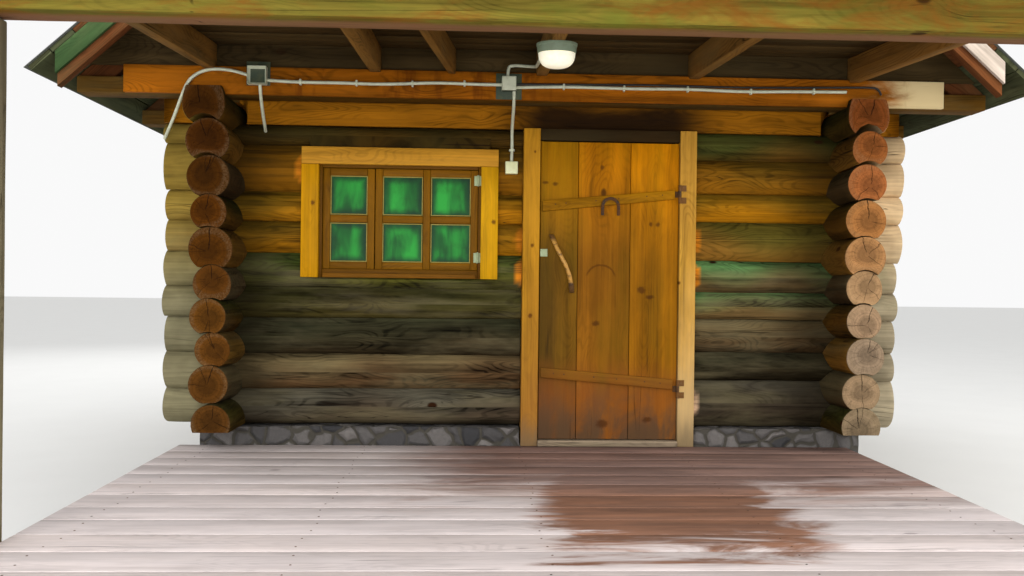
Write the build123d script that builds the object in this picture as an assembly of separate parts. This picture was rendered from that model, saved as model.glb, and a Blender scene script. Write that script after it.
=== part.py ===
from build123d import *
import os
from math import asin, atan2, cos, degrees, radians, sin, tan

# Log cabin with a covered plank porch, in millimetres.
# X runs along the front, +Y runs into the cabin, and Z = 0 is the ground.
# Inside the script, y is measured from the axis of the front wall and z from the top of the deck.

# Ground, deck and floor
DECK_TOP = 300
DECK_LEFT = 1990
DECK_RIGHT = 1800
DECK_REACH = 2600
DECK_BOARD = 40
BEARER_WIDTH = 100
BEARER_HEIGHT = 150
BEARER_INSET = 60
DECK_BEARERS = 5
FLOOR_BEARERS = 4
PIER_SIZE = 240
FLOOR_BOARD = 40
FLOOR_TOP = 32
FLOOR_GAP = 10
PLINTH_TOP = 106
PLINTH_WIDTH = 260

# Log work
SIDE_WALL_X = 1760
CABIN_DEPTH = 3400
LOG_RADIUS = 112
LOG_SIDES = 16
LOG_COURSE = 187
COURSES = 9
SIDE_COURSE_RISE = 125
FIRST_LOG_FLAT = 5
FRONT_LOG_OVERHANG = 350
SIDE_LOG_OVERHANG = 400
SCRIBE_GAP = 0.3
TOP_LOG_WIDTH = 200
SIDE_TOP_FLAT = 86
SCOOP_DEPTH = 20
SCOOP_RUN = 50

# Doorway and door
DOORWAY_X = 413
LEAF_WIDTH = 790
LEAF_HEIGHT = 1690
LEAF_THICKNESS = 40
LEAF_RECESS = 12
DOOR_GAP = 5
HEAD_GAP = 7
DOOR_POST_WIDTH = 95
POST_PROUD = 45
STOP_WIDTH = 20
THRESHOLD_TOP = 35
THRESHOLD_PROUD = 20
PLANK_GAP = 2
LEFT_PLANK = 214
MIDDLE_PLANK = 299
BATTEN_THICKNESS = 22
BATTEN_LEFT_INSET = 9
BATTEN_RIGHT_INSET = 26
UPPER_BATTEN_LEFT = (1331, 1393)
UPPER_BATTEN_RIGHT = (1412, 1463)
LOWER_BATTEN_LEFT = (391, 448)
LOWER_BATTEN_RIGHT = (328, 385)
HANDLE_RADIUS = 13
HANDLE_SIDES = 12
HANDLE_LENGTHS = 5
HANDLE_TOP = (62, 1212)
HANDLE_BOTTOM = (192, 866)
HANDLE_STANDOFF = 50
HANDLE_BOW = 14
SHOE_RADIUS = 54
SHOE_BAND = 17
SHOE_LEG = 50
SHOE_THICKNESS = 8
SHOE_Z = 1364
LATCH_WIDTH = 41
LATCH_HEIGHT = 43
LATCH_Z = 1098
PLATE_THICKNESS = 4
KNUCKLE_RADIUS = 8
KNUCKLE_SIDES = 12
KNUCKLE_LENGTH = 34
KNUCKLE_GAP = 0.5
PIN_RADIUS = 3.5
PIN_GAP = 0.3
HINGE_FLANGE = 38
STRAP_FLANGE = 22
HINGE_HEIGHTS = (330, 1440)

# Window
WINDOW_LEFT = -1333
WINDOW_WIDTH = 1110
WINDOW_LOW = 943
WINDOW_HEIGHT = 737
CASING_WIDTH = 98
CASING_THICKNESS = 45
CASING_JOINT = 0.5
FRAME_LAP = 35
FRAME_WIDTH = 50
FRAME_BACK = 90
LEFT_SASH_SHARE = 0.335
SILL_PROUD = 15
SILL_HEIGHT = 26
PANE_ROWS = 2
SASH_RAIL = 41
SASH_THICKNESS = 36
SASH_BAR = 46
SASH_GAP = 2
SASH_SEAT = 0.3
SASH_RECESS = 8
GLASS_THICKNESS = 4

# Main roof
ROOF_PITCH = 42
EAVE_X = 2570
EAVE_Z = 1950
TIE_HEIGHT = 150
TIE_WIDTH = 150
TIE_OVERHANG = 740
TIE_SEAT_X = 2200
TIE_SEAT_DEPTH = 60
TIE_FRONT = 320
TIES = 5
INFILL_WIDTH = 150
FACE_BOARD_THICKNESS = 30
FACE_BOARD_HALF_LENGTH = 2243
RAFTER_DEPTH = 130
RAFTER_WIDTH = 60
GABLE_BOARD = 22
VERGE_REACH = 330
ROOF_BOARD = 25
ROOF_FELT = 5
FELT_LIP = 15
BARGE_DEPTH = 85
BARGE_THICKNESS = 25
LEFT_BARGE_FOOT = 115
RIGHT_BARGE_FOOT = 173
RIDGE_GAP = 0.5
CEILING_BOARD = 25
CEILING_LAP = 80

# Porch roof
FRONT_BEAM_Y = 2112
FRONT_BEAM_SIZE = 150
FRONT_BEAM_TOP = 1965
FRONT_BEAM_HALF_LENGTH = 2250
PORCH_POST_X = 2075
PORCH_POST_SIZE = 150
JOIST_PLACES = [-1785, -902, 0, 839, 1734]
JOIST_WIDTH = 60
JOIST_DEPTH = 140
JOIST_SEAT = 15
JOIST_NOTCH = 35
LATH_ENDS = (-486, -681)
LATH_WIDTH = 40
PORCH_EAVE = 450
PORCH_HALF_WIDTH = 2000
PORCH_BOARD = 22
PORCH_FELT = 5
PORCH_FELT_LIP = 12

# Electrical fittings
CONDUIT_RADIUS = 9
CABLE_RADIUS = 6
TUBE_SIDES = 8
CLIP_GAP = 0.3
CONDUIT_BEND = 60
CABLE_BEND = 18
LEFT_BOX_X = -1526
LEFT_BOX_Z = 2016
LEFT_BOX_SIZE = (100, 96, 45)
LEFT_PLATE_SIZE = (126, 128)
LEFT_PLATE_Z = 2032
MIDDLE_BOX_X = -179
MIDDLE_BOX_Z = 2001
MIDDLE_BOX_SIZE = (78, 78, 40)
MIDDLE_PLATE_SIZE = (140, 142)
MIDDLE_PLATE_Z = 1991
BACK_PLATE = 5
SWITCH_X = -150
SWITCH_Z = 1578
SWITCH_SIZE = (70, 70, 38)
LAMP_Y = 1250
LAMP_RADIUS = 92
LAMP_BASE = 42
LAMP_DOME_RADIUS = 84
LAMP_DOME = 66
LAMP_DOME_RINGS = 5
LAMP_SIDES = 24

# Wiring along the face board: the bends as (x, z), from middle to middle of the fittings
BETWEEN_BOXES = [(LEFT_BOX_X, 1995), (-1180, 1988), (-560, 2003), (MIDDLE_BOX_X, 1998)]
TO_RIGHT = [(MIDDLE_BOX_X, 1984), (500, 1992), (1100, 1989), (1683, 1998)]
TO_CORNER = [(LEFT_BOX_X, LEFT_BOX_Z), (-1700, 2047), (-1830, 2038), (-1905, 1962), (-1932, 1890)]
CABLE_ROUTE = [(MIDDLE_BOX_X, 2003), (420, 2012), (1050, 2010), (1600, 2022), (1862, 2026), (1880, 1985)]
CORNER_END_X = -2095
DROP_X = -1514
DROP_END = (-1536, 1760)
STEP_TOP = 30
STEP_LOW = 150
LAMP_LOOP_RISE = 33
LAMP_LOOP_TURN = 30
LAMP_RUN_START = 170
LAMP_RUN_LIFT = 20

# Derived heights and places
SLOPE = tan(radians(ROOF_PITCH))
RAFTER_DROP = RAFTER_DEPTH / cos(radians(ROOF_PITCH))
BARGE_DROP = BARGE_DEPTH / cos(radians(ROOF_PITCH))
VERGE_FACE = TIE_FRONT + VERGE_REACH + BARGE_THICKNESS
FRONT_REACH = max(DECK_REACH, FRONT_BEAM_Y + PORCH_EAVE + PORCH_FELT_LIP)
REAR_REACH = CABIN_DEPTH + VERGE_FACE + FELT_LIP
FRONT_Y = (FRONT_REACH - REAR_REACH) / 2
CORNER = 2 * LOG_RADIUS
FRONT_LOG_END = SIDE_WALL_X + FRONT_LOG_OVERHANG
FRONT_SPAN = (-FRONT_LOG_END, FRONT_LOG_END)
SIDE_SPAN = (-SIDE_LOG_OVERHANG, CABIN_DEPTH + SIDE_LOG_OVERHANG)
SCRIBED = LOG_RADIUS + SCRIBE_GAP
TIE_HALF_LENGTH = SIDE_WALL_X + TIE_OVERHANG
FIRST_FRONT_Z = PLINTH_TOP + LOG_RADIUS - FIRST_LOG_FLAT
FIRST_SIDE_Z = FIRST_FRONT_Z + SIDE_COURSE_RISE - LOG_COURSE
TIE_LOW = FIRST_SIDE_Z + COURSES * LOG_COURSE + SIDE_TOP_FLAT
TIE_TOP = TIE_LOW + TIE_HEIGHT
TIE_SEAT_Z = TIE_TOP - TIE_SEAT_DEPTH
SEAM_TOP = FIRST_FRONT_Z + (COURSES - 0.5) * LOG_COURSE
PLINTH_FACE = PLINTH_WIDTH / 2
FLOOR_LOW = FLOOR_TOP - FLOOR_BOARD
LEAF_LOW = THRESHOLD_TOP + DOOR_GAP
LEAF_TOP = LEAF_LOW + LEAF_HEIGHT
LEAF_LEFT = DOORWAY_X - LEAF_WIDTH / 2
LEAF_RIGHT = DOORWAY_X + LEAF_WIDTH / 2
POST_INNER = (LEAF_LEFT - DOOR_GAP, LEAF_RIGHT + DOOR_GAP)
DOORWAY = (POST_INNER[0] - DOOR_POST_WIDTH, POST_INNER[1] + DOOR_POST_WIDTH)
POST_FACE = LOG_RADIUS + POST_PROUD
LEAF_FACE = POST_FACE - LEAF_RECESS
LEAF_BACK = LEAF_FACE - LEAF_THICKNESS
STOP_FACE = LEAF_BACK - DOOR_GAP
BATTEN_FACE = LEAF_FACE + BATTEN_THICKNESS
HINGE_X = LEAF_RIGHT + DOOR_GAP / 2
HINGE_OUT = POST_FACE + KNUCKLE_RADIUS
HEWN_FACE = LOG_RADIUS - SCOOP_DEPTH
WINDOW_RIGHT = WINDOW_LEFT + WINDOW_WIDTH
WINDOW_TOP = WINDOW_LOW + WINDOW_HEIGHT
CASING_FACE = HEWN_FACE + CASING_THICKNESS
WINDOW_HOLE_X = (WINDOW_LEFT + CASING_WIDTH - FRAME_LAP, WINDOW_RIGHT - CASING_WIDTH + FRAME_LAP)
WINDOW_HOLE_TOP = WINDOW_TOP - CASING_WIDTH + FRAME_LAP
FACE_BOARD_FACE = TIE_FRONT + FACE_BOARD_THICKNESS
FRONT_BEAM_LOW = FRONT_BEAM_TOP - FRONT_BEAM_SIZE
JOIST_LOW_AT_WALL = TIE_TOP - JOIST_SEAT
JOIST_FALL = (JOIST_LOW_AT_WALL - FRONT_BEAM_TOP + JOIST_NOTCH) / (FRONT_BEAM_Y - TIE_FRONT)
PORCH_REACH = FRONT_BEAM_Y + PORCH_EAVE
CONDUIT_OUT = FACE_BOARD_FACE + CONDUIT_RADIUS + CLIP_GAP
CABLE_OUT = FACE_BOARD_FACE + CABLE_RADIUS + CLIP_GAP
CONDUIT_CORNER = CONDUIT_RADIUS / cos(radians(180 / TUBE_SIDES))


def place(x, y, z):
    """Point given in the cabin's own measures."""
    return Vector(x, FRONT_Y + y, DECK_TOP + z)


def block(x, y, z):
    """Box between (low, high) pairs."""
    middle = place((x[0] + x[1]) / 2, (y[0] + y[1]) / 2, (z[0] + z[1]) / 2)
    return Pos(*middle) * Box(x[1] - x[0], y[1] - y[0], z[1] - z[0])


def around(middle, size):
    """(low, high) pair of a size about its middle."""
    return (middle - size / 2, middle + size / 2)


def many_sided(radius, sides):
    """Section that stands for a circle, with a flat each at its top, bottom and sides."""
    return RegularPolygon(radius, sides, major_radius=False, rotation=180 / sides)


def log_along_x(x, y, z, radius=LOG_RADIUS):
    """Log between two x values."""
    log = extrude(many_sided(radius, LOG_SIDES), (x[1] - x[0]) / 2, both=True)
    return Pos(*place((x[0] + x[1]) / 2, y, z)) * Rot(0, 90, 0) * log


def log_along_y(x, y, z, radius=LOG_RADIUS):
    """Log between two y values."""
    log = extrude(many_sided(radius, LOG_SIDES), (y[1] - y[0]) / 2, both=True)
    return Pos(*place(x, (y[0] + y[1]) / 2, z)) * Rot(90, 0, 0) * log


def prism(points, direction, length):
    """Closed outline of places, extruded along one axis."""
    return extrude(make_face(Polyline(*points, close=True)), length, dir=direction)


def save(name, *shapes):
    """Write one node: all solids of the given shapes."""
    solids = [solid for shape in shapes for solid in shape.solids()]
    export_step(Compound(children=solids), f"parts/{name}.step")


def front_log_z(course):
    """Height of the axis of a front or rear log, counted from course 1."""
    return FIRST_FRONT_Z + (course - 1) * LOG_COURSE


def side_log_z(course):
    """Height of the axis of a side log, counted from the half log, course 0."""
    return FIRST_SIDE_Z + course * LOG_COURSE


def gable_wall_log(course, wall_y):
    """Whole log across a gable wall, scribed over the log below and saddled over the side logs."""
    z = front_log_z(course)
    thick = around(wall_y, 2 * CORNER)
    log = log_along_x(FRONT_SPAN, wall_y, z)
    if course == 1:
        log -= block(FRONT_SPAN, thick, (z - CORNER, PLINTH_TOP))
    else:
        log -= log_along_x(FRONT_SPAN, wall_y, z - LOG_COURSE, SCRIBED)
    for x in (-SIDE_WALL_X, SIDE_WALL_X):
        log -= log_along_y(x, thick, side_log_z(course - 1), SCRIBED)
    return log


def side_wall_log(course, wall_x):
    """Side log: course 0 is a half log on the plinth, the last is hewn flat on top for the ties."""
    z = side_log_z(course)
    thick = around(wall_x, 2 * CORNER)
    log = log_along_y(wall_x, SIDE_SPAN, z)
    if course == 0:
        return log - block(thick, SIDE_SPAN, (z - CORNER, PLINTH_TOP))
    log -= log_along_y(wall_x, SIDE_SPAN, z - LOG_COURSE, SCRIBED)
    for y in (0, CABIN_DEPTH):
        log -= log_along_x(thick, y, front_log_z(course), SCRIBED)
    if course == COURSES:
        log -= block(thick, SIDE_SPAN, (TIE_LOW, TIE_LOW + CORNER))
    return log


def squared_top_log(wall_y, spans):
    """Squared log that closes a gable wall, scribed over these spans of the course below."""
    faces = around(wall_y, TOP_LOG_WIDTH)
    log = block(FRONT_SPAN, faces, (SEAM_TOP, TIE_TOP))
    for span in spans:
        log -= log_along_x(span, wall_y, front_log_z(COURSES), SCRIBED)
    for x in (-SIDE_WALL_X, SIDE_WALL_X):
        saddle = log_along_y(x, faces, side_log_z(COURSES), SCRIBED)
        log -= saddle & block(around(x, 2 * CORNER), faces, (SEAM_TOP, TIE_LOW + SCRIBE_GAP))
    return log


def hewn_scoop(x, z):
    """Cutter for the flat that is hewn on the front logs between x values, with sloping run-outs."""
    out = LOG_RADIUS + SCOOP_DEPTH
    plan = [
        place(x[0] - 2 * SCOOP_RUN, -out, z[0]),
        place(x[0], -HEWN_FACE, z[0]),
        place(x[1], -HEWN_FACE, z[0]),
        place(x[1] + 2 * SCOOP_RUN, -out, z[0]),
    ]
    return prism(plan, (0, 0, 1), z[1] - z[0])


def make_plinth():
    """Rubble strip: front and rear run through, the sides stand between them."""
    low_high = (-DECK_TOP, PLINTH_TOP)
    wide = (-SIDE_WALL_X - PLINTH_FACE, SIDE_WALL_X + PLINTH_FACE)
    front = block(wide, (-PLINTH_FACE, PLINTH_FACE), low_high)
    front -= block(DOORWAY, (-PLINTH_FACE, PLINTH_FACE), (0, PLINTH_TOP))
    rear = block(wide, around(CABIN_DEPTH, PLINTH_WIDTH), low_high)
    save("plinth_front_and_rear", front, rear)
    long = (PLINTH_FACE, CABIN_DEPTH - PLINTH_FACE)
    sides = [block(around(x, PLINTH_WIDTH), long, low_high) for x in (-SIDE_WALL_X, SIDE_WALL_X)]
    save("plinth_sides", *sides)


def make_front_wall():
    """Front logs, cut through for the doorway and the window, and hewn flat beside their casings."""
    through = (-CORNER, CORNER)
    cutters = [
        block(DOORWAY, through, (0, SEAM_TOP + CORNER)),
        block(WINDOW_HOLE_X, through, (WINDOW_LOW, WINDOW_HOLE_TOP)),
        hewn_scoop(DOORWAY, (0, SEAM_TOP)),
        hewn_scoop((WINDOW_LEFT, WINDOW_RIGHT), (WINDOW_LOW, WINDOW_TOP)),
    ]
    left = {0: [], 1: []}
    right = {0: [], 1: []}
    for course in range(1, COURSES + 1):
        for piece in (gable_wall_log(course, 0) - cutters).solids():
            side = left if piece.center().X < DOORWAY_X else right
            side[course % 2].append(piece)
    save("front_logs_left_odd", *left[1])
    save("front_logs_left_even", *left[0])
    save("front_logs_right_odd", *right[1])
    save("front_logs_right_even", *right[0])
    spans = [(FRONT_SPAN[0], DOORWAY[0]), (DOORWAY[1], FRONT_SPAN[1])]
    save("front_top_log", squared_top_log(0, spans))


def make_rear_wall():
    """Rear wall: the same courses, unbroken."""
    logs = {0: [], 1: []}
    for course in range(1, COURSES + 1):
        logs[course % 2].append(gable_wall_log(course, CABIN_DEPTH))
    save("rear_logs_odd", *logs[1])
    save("rear_logs_even", *logs[0])
    save("rear_top_log", squared_top_log(CABIN_DEPTH, [FRONT_SPAN]))


def make_side_walls():
    """Side walls, each from the half log to the hewn top log."""
    for name, wall_x in (("left", -SIDE_WALL_X), ("right", SIDE_WALL_X)):
        logs = {0: [], 1: []}
        for course in range(COURSES + 1):
            logs[course % 2].append(side_wall_log(course, wall_x))
        save(f"{name}_logs_odd", *logs[1])
        save(f"{name}_logs_even", *logs[0])


def make_floor():
    """Inner floor on bearers, and the porch deck on its own bearers, all on low piers."""
    floor_x = SIDE_WALL_X - PLINTH_FACE - FLOOR_GAP
    floor_y = (PLINTH_FACE + FLOOR_GAP, CABIN_DEPTH - PLINTH_FACE - FLOOR_GAP)
    save("floor_boards", block((-floor_x, floor_x), floor_y, (FLOOR_LOW, FLOOR_TOP)))
    deck_y = (-DECK_REACH, -PLINTH_FACE - FLOOR_GAP)
    save("deck_boards", block((-DECK_LEFT, DECK_RIGHT), deck_y, (-DECK_BOARD, 0)))

    bearers = []
    piers = []

    def bearer_on_piers(x, y, top):
        low = top - BEARER_HEIGHT
        bearers.append(block(x, y, (low, top)))
        along_x = x[1] - x[0] > y[1] - y[0]
        run = x if along_x else y
        fixed = sum(y if along_x else x) / 2
        for spot in (run[0] + PIER_SIZE / 2, sum(run) / 2, run[1] - PIER_SIZE / 2):
            middle = (spot, fixed) if along_x else (fixed, spot)
            footing = [around(middle[0], PIER_SIZE), around(middle[1], PIER_SIZE)]
            piers.append(block(*footing, (-DECK_TOP, low)))

    first = -DECK_LEFT + BEARER_INSET + PIER_SIZE / 2
    pitch = (DECK_RIGHT + DECK_LEFT - 2 * BEARER_INSET - PIER_SIZE) / (DECK_BEARERS - 1)
    for i in range(DECK_BEARERS):
        deck_run = (deck_y[0] + BEARER_INSET, deck_y[1] - BEARER_INSET)
        bearer_on_piers(around(first + i * pitch, BEARER_WIDTH), deck_run, -DECK_BOARD)
    first = floor_y[0] + BEARER_INSET + PIER_SIZE / 2
    pitch = (floor_y[1] - floor_y[0] - 2 * BEARER_INSET - PIER_SIZE) / (FLOOR_BEARERS - 1)
    for i in range(FLOOR_BEARERS):
        floor_run = (-floor_x + BEARER_INSET, floor_x - BEARER_INSET)
        bearer_on_piers(floor_run, around(first + i * pitch, BEARER_WIDTH), FLOOR_LOW)
    save("bearers", *bearers)
    save("piers", *piers)


def hinge_knuckle():
    """Knuckle about its own upright axis."""
    return extrude(many_sided(KNUCKLE_RADIUS, KNUCKLE_SIDES), KNUCKLE_LENGTH / 2, both=True)


def make_door_frame():
    """Casing posts with rebates, head piece, threshold and the fixed halves of the hinges."""
    deep = (-POST_FACE, LOG_RADIUS)
    stop = (-STOP_FACE, LOG_RADIUS)
    post_left = block((DOORWAY[0], POST_INNER[0]), deep, (0, SEAM_TOP))
    post_left += block((POST_INNER[0], POST_INNER[0] + STOP_WIDTH), stop, (0, SEAM_TOP))
    post_right = block((POST_INNER[1], DOORWAY[1]), deep, (0, SEAM_TOP))
    post_right += block((POST_INNER[1] - STOP_WIDTH, POST_INNER[1]), stop, (0, SEAM_TOP))
    save("door_post_left", post_left)
    save("door_post_right", post_right)

    posts = [post_left, post_right]
    head_low = LEAF_TOP + HEAD_GAP
    head = block(POST_INNER, (-LEAF_FACE, LOG_RADIUS), (head_low, SEAM_TOP))
    head += block(POST_INNER, stop, (head_low - STOP_WIDTH, SEAM_TOP))
    save("door_head", head - posts)
    sill_y = (-POST_FACE - THRESHOLD_PROUD, PLINTH_FACE + FLOOR_GAP)
    save("door_threshold", block(POST_INNER, sill_y, (0, THRESHOLD_TOP)) - posts)

    fixed = []
    for z in HINGE_HEIGHTS:
        for side in (-1, 1):
            near = z + side * (KNUCKLE_LENGTH / 2 + KNUCKLE_GAP)
            far = near + side * KNUCKLE_LENGTH
            ends = (min(near, far), max(near, far))
            middle = place(HINGE_X, -HINGE_OUT, near + side * KNUCKLE_LENGTH / 2)
            knuckle = Pos(*middle) * hinge_knuckle()
            flange_x = (HINGE_X + DOOR_GAP / 2, HINGE_X + HINGE_FLANGE)
            flange = block(flange_x, (-POST_FACE - PLATE_THICKNESS, -POST_FACE), ends)
            fixed.append(knuckle + flange - block(POST_INNER, (-POST_FACE, 0), ends))
        pin_length = 3 * KNUCKLE_LENGTH + 2 * KNUCKLE_GAP
        pin = Pos(*place(HINGE_X, -HINGE_OUT, z)) * Cylinder(PIN_RADIUS, pin_length)
        fixed[-2:] = [fixed[-2] + pin + fixed[-1]]
    save("hinge_brackets", *fixed)


def sloping_batten(left, right):
    """Tapered batten on the outer face of the door."""
    x = (LEAF_LEFT + BATTEN_LEFT_INSET, LEAF_RIGHT - BATTEN_RIGHT_INSET)
    outline = [
        place(x[0], -LEAF_FACE, left[0]),
        place(x[1], -LEAF_FACE, right[0]),
        place(x[1], -LEAF_FACE, right[1]),
        place(x[0], -LEAF_FACE, left[1]),
    ]
    return prism(outline, (0, -1, 0), BATTEN_THICKNESS)


def make_door_leaf():
    """Three planks, two sloping battens, the bent-branch handle and the ironwork on them."""
    edges = [LEAF_LEFT, LEAF_LEFT + LEFT_PLANK, LEAF_LEFT + LEFT_PLANK + MIDDLE_PLANK, LEAF_RIGHT]
    planks = []
    for low, high in zip(edges, edges[1:]):
        left = low + (PLANK_GAP / 2 if low > LEAF_LEFT else 0)
        right = high - (PLANK_GAP / 2 if high < LEAF_RIGHT else 0)
        planks.append(block((left, right), (-LEAF_FACE, -LEAF_BACK), (LEAF_LOW, LEAF_TOP)))
    save("door_planks", *planks)
    upper = sloping_batten(UPPER_BATTEN_LEFT, UPPER_BATTEN_RIGHT)
    lower = sloping_batten(LOWER_BATTEN_LEFT, LOWER_BATTEN_RIGHT)
    save("door_battens", upper, lower)

    top = place(LEAF_LEFT + HANDLE_TOP[0], -LEAF_FACE, HANDLE_TOP[1])
    bottom = place(LEAF_LEFT + HANDLE_BOTTOM[0], -LEAF_FACE, HANDLE_BOTTOM[1])
    belly = (top + bottom) / 2 + Vector(HANDLE_BOW, -HANDLE_STANDOFF, 0)
    bow = ThreePointArc(top, belly, bottom)
    bend = Polyline(*[bow @ (i / HANDLE_LENGTHS) for i in range(HANDLE_LENGTHS + 1)])
    section = Plane(origin=bend @ 0, z_dir=bend % 0) * many_sided(HANDLE_RADIUS, HANDLE_SIDES)
    branch = sweep(section, path=bend, transition=Transition.RIGHT)
    leaf = block((LEAF_LEFT, LEAF_RIGHT), (-LEAF_FACE, 0), (LEAF_LOW, LEAF_TOP))
    save("door_handle", branch - leaf)

    shoe = Circle(SHOE_RADIUS) + Pos(0, -SHOE_LEG / 2) * Rectangle(2 * SHOE_RADIUS, SHOE_LEG)
    inner = SHOE_RADIUS - SHOE_BAND
    shoe -= Circle(inner) + Pos(0, -SHOE_RADIUS) * Rectangle(2 * inner, 2 * SHOE_RADIUS)
    on_batten = Plane(origin=place(DOORWAY_X, -BATTEN_FACE, SHOE_Z), x_dir=(1, 0, 0), z_dir=(0, -1, 0))
    save("door_horseshoe", extrude(on_batten * shoe, SHOE_THICKNESS))
    latch_x = (LEAF_LEFT, LEAF_LEFT + LATCH_WIDTH)
    latch_y = (-LEAF_FACE - PLATE_THICKNESS, -LEAF_FACE)
    save("door_latch_plate", block(latch_x, latch_y, around(LATCH_Z, LATCH_HEIGHT)))

    straps = []
    for z in HINGE_HEIGHTS:
        ends = around(z, KNUCKLE_LENGTH)
        strap = Pos(*place(HINGE_X, -HINGE_OUT, z)) * hinge_knuckle()
        strap += block((LEAF_RIGHT - KNUCKLE_RADIUS, LEAF_RIGHT), (-HINGE_OUT, -LEAF_FACE), ends)
        flange = (LEAF_RIGHT - STRAP_FLANGE, LEAF_RIGHT)
        strap += block(flange, (-LEAF_FACE - PLATE_THICKNESS, -LEAF_FACE), ends)
        bore = Cylinder(PIN_RADIUS + PIN_GAP, KNUCKLE_LENGTH)
        straps.append(strap - Pos(*place(HINGE_X, -HINGE_OUT, z)) * bore)
    save("door_hinge_straps", *straps)


def make_window():
    """Casing boards on the hewn flat, the frame in the log opening, two sashes and their panes."""
    inner_x = (WINDOW_LEFT + CASING_WIDTH, WINDOW_RIGHT - CASING_WIDTH)
    casing_y = (-CASING_FACE, -HEWN_FACE)
    side_top = WINDOW_TOP - CASING_WIDTH
    sides = [(WINDOW_LEFT, inner_x[0]), (inner_x[1], WINDOW_RIGHT)]
    boards = [block(x, casing_y, (WINDOW_LOW, side_top - CASING_JOINT)) for x in sides]
    boards.append(block((WINDOW_LEFT, WINDOW_RIGHT), casing_y, (side_top, WINDOW_TOP)))
    save("window_casing", *boards)

    hole_z = (WINDOW_LOW, WINDOW_HOLE_TOP)
    light_x = (WINDOW_HOLE_X[0] + FRAME_WIDTH, WINDOW_HOLE_X[1] - FRAME_WIDTH)
    light_z = (hole_z[0] + FRAME_WIDTH, hole_z[1] - FRAME_WIDTH)
    frame = block(WINDOW_HOLE_X, (-HEWN_FACE, FRAME_BACK), hole_z)
    frame += block(inner_x, (-CASING_FACE - SILL_PROUD, -HEWN_FACE), (WINDOW_LOW, WINDOW_LOW + SILL_HEIGHT))
    save("window_frame", frame - block(light_x, (-CASING_FACE, FRAME_BACK), light_z))

    front = -HEWN_FACE + SASH_RECESS
    sash_y = (front, front + SASH_THICKNESS)
    glass_y = around(sum(sash_y) / 2, GLASS_THICKNESS)
    meeting = light_x[0] + LEFT_SASH_SHARE * (light_x[1] - light_x[0])
    sashes = []
    glass = []
    for x, columns in (((light_x[0], meeting), 1), ((meeting, light_x[1]), 2)):
        outer_x = (x[0] + SASH_GAP, x[1] - SASH_GAP)
        outer_z = (light_z[0] + SASH_SEAT, light_z[1] - SASH_GAP)
        pane_w = (outer_x[1] - outer_x[0] - 2 * SASH_RAIL - (columns - 1) * SASH_BAR) / columns
        pane_h = (outer_z[1] - outer_z[0] - 2 * SASH_RAIL - (PANE_ROWS - 1) * SASH_BAR) / PANE_ROWS
        sash = block(outer_x, sash_y, outer_z)
        for column in range(columns):
            for row in range(PANE_ROWS):
                left = outer_x[0] + SASH_RAIL + column * (pane_w + SASH_BAR)
                low = outer_z[0] + SASH_RAIL + row * (pane_h + SASH_BAR)
                pane = ((left, left + pane_w), (low, low + pane_h))
                sash -= block(pane[0], sash_y, pane[1])
                glass.append(block(pane[0], glass_y, pane[1]))
        sashes.append(sash)
    save("window_sashes", *sashes)
    save("window_glass", *glass)


def roof_point(x, lift, y):
    """Place at a lift square off the underside of the roof boards, above the given x."""
    side = 1 if x >= 0 else -1
    out = abs(x) + lift * sin(radians(ROOF_PITCH))
    up = EAVE_Z + (EAVE_X - abs(x)) * SLOPE + lift * cos(radians(ROOF_PITCH))
    return place(side * out, y, up)


def under_roof(x, y, drop=0):
    """Place a plumb drop below the roof boards."""
    return place(x, y, EAVE_Z + (EAVE_X - abs(x)) * SLOPE - drop)


def roof_x(z):
    """Distance from the centreline at which the roof boards' underside reaches a height."""
    return EAVE_X - (z - EAVE_Z) / SLOPE


def tie_middles():
    """Places of the ties along the cabin, the first and last on the log ends."""
    first = -TIE_FRONT + TIE_WIDTH / 2
    pitch = (CABIN_DEPTH - 2 * first) / (TIES - 1)
    return [first + i * pitch for i in range(TIES)]


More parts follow.
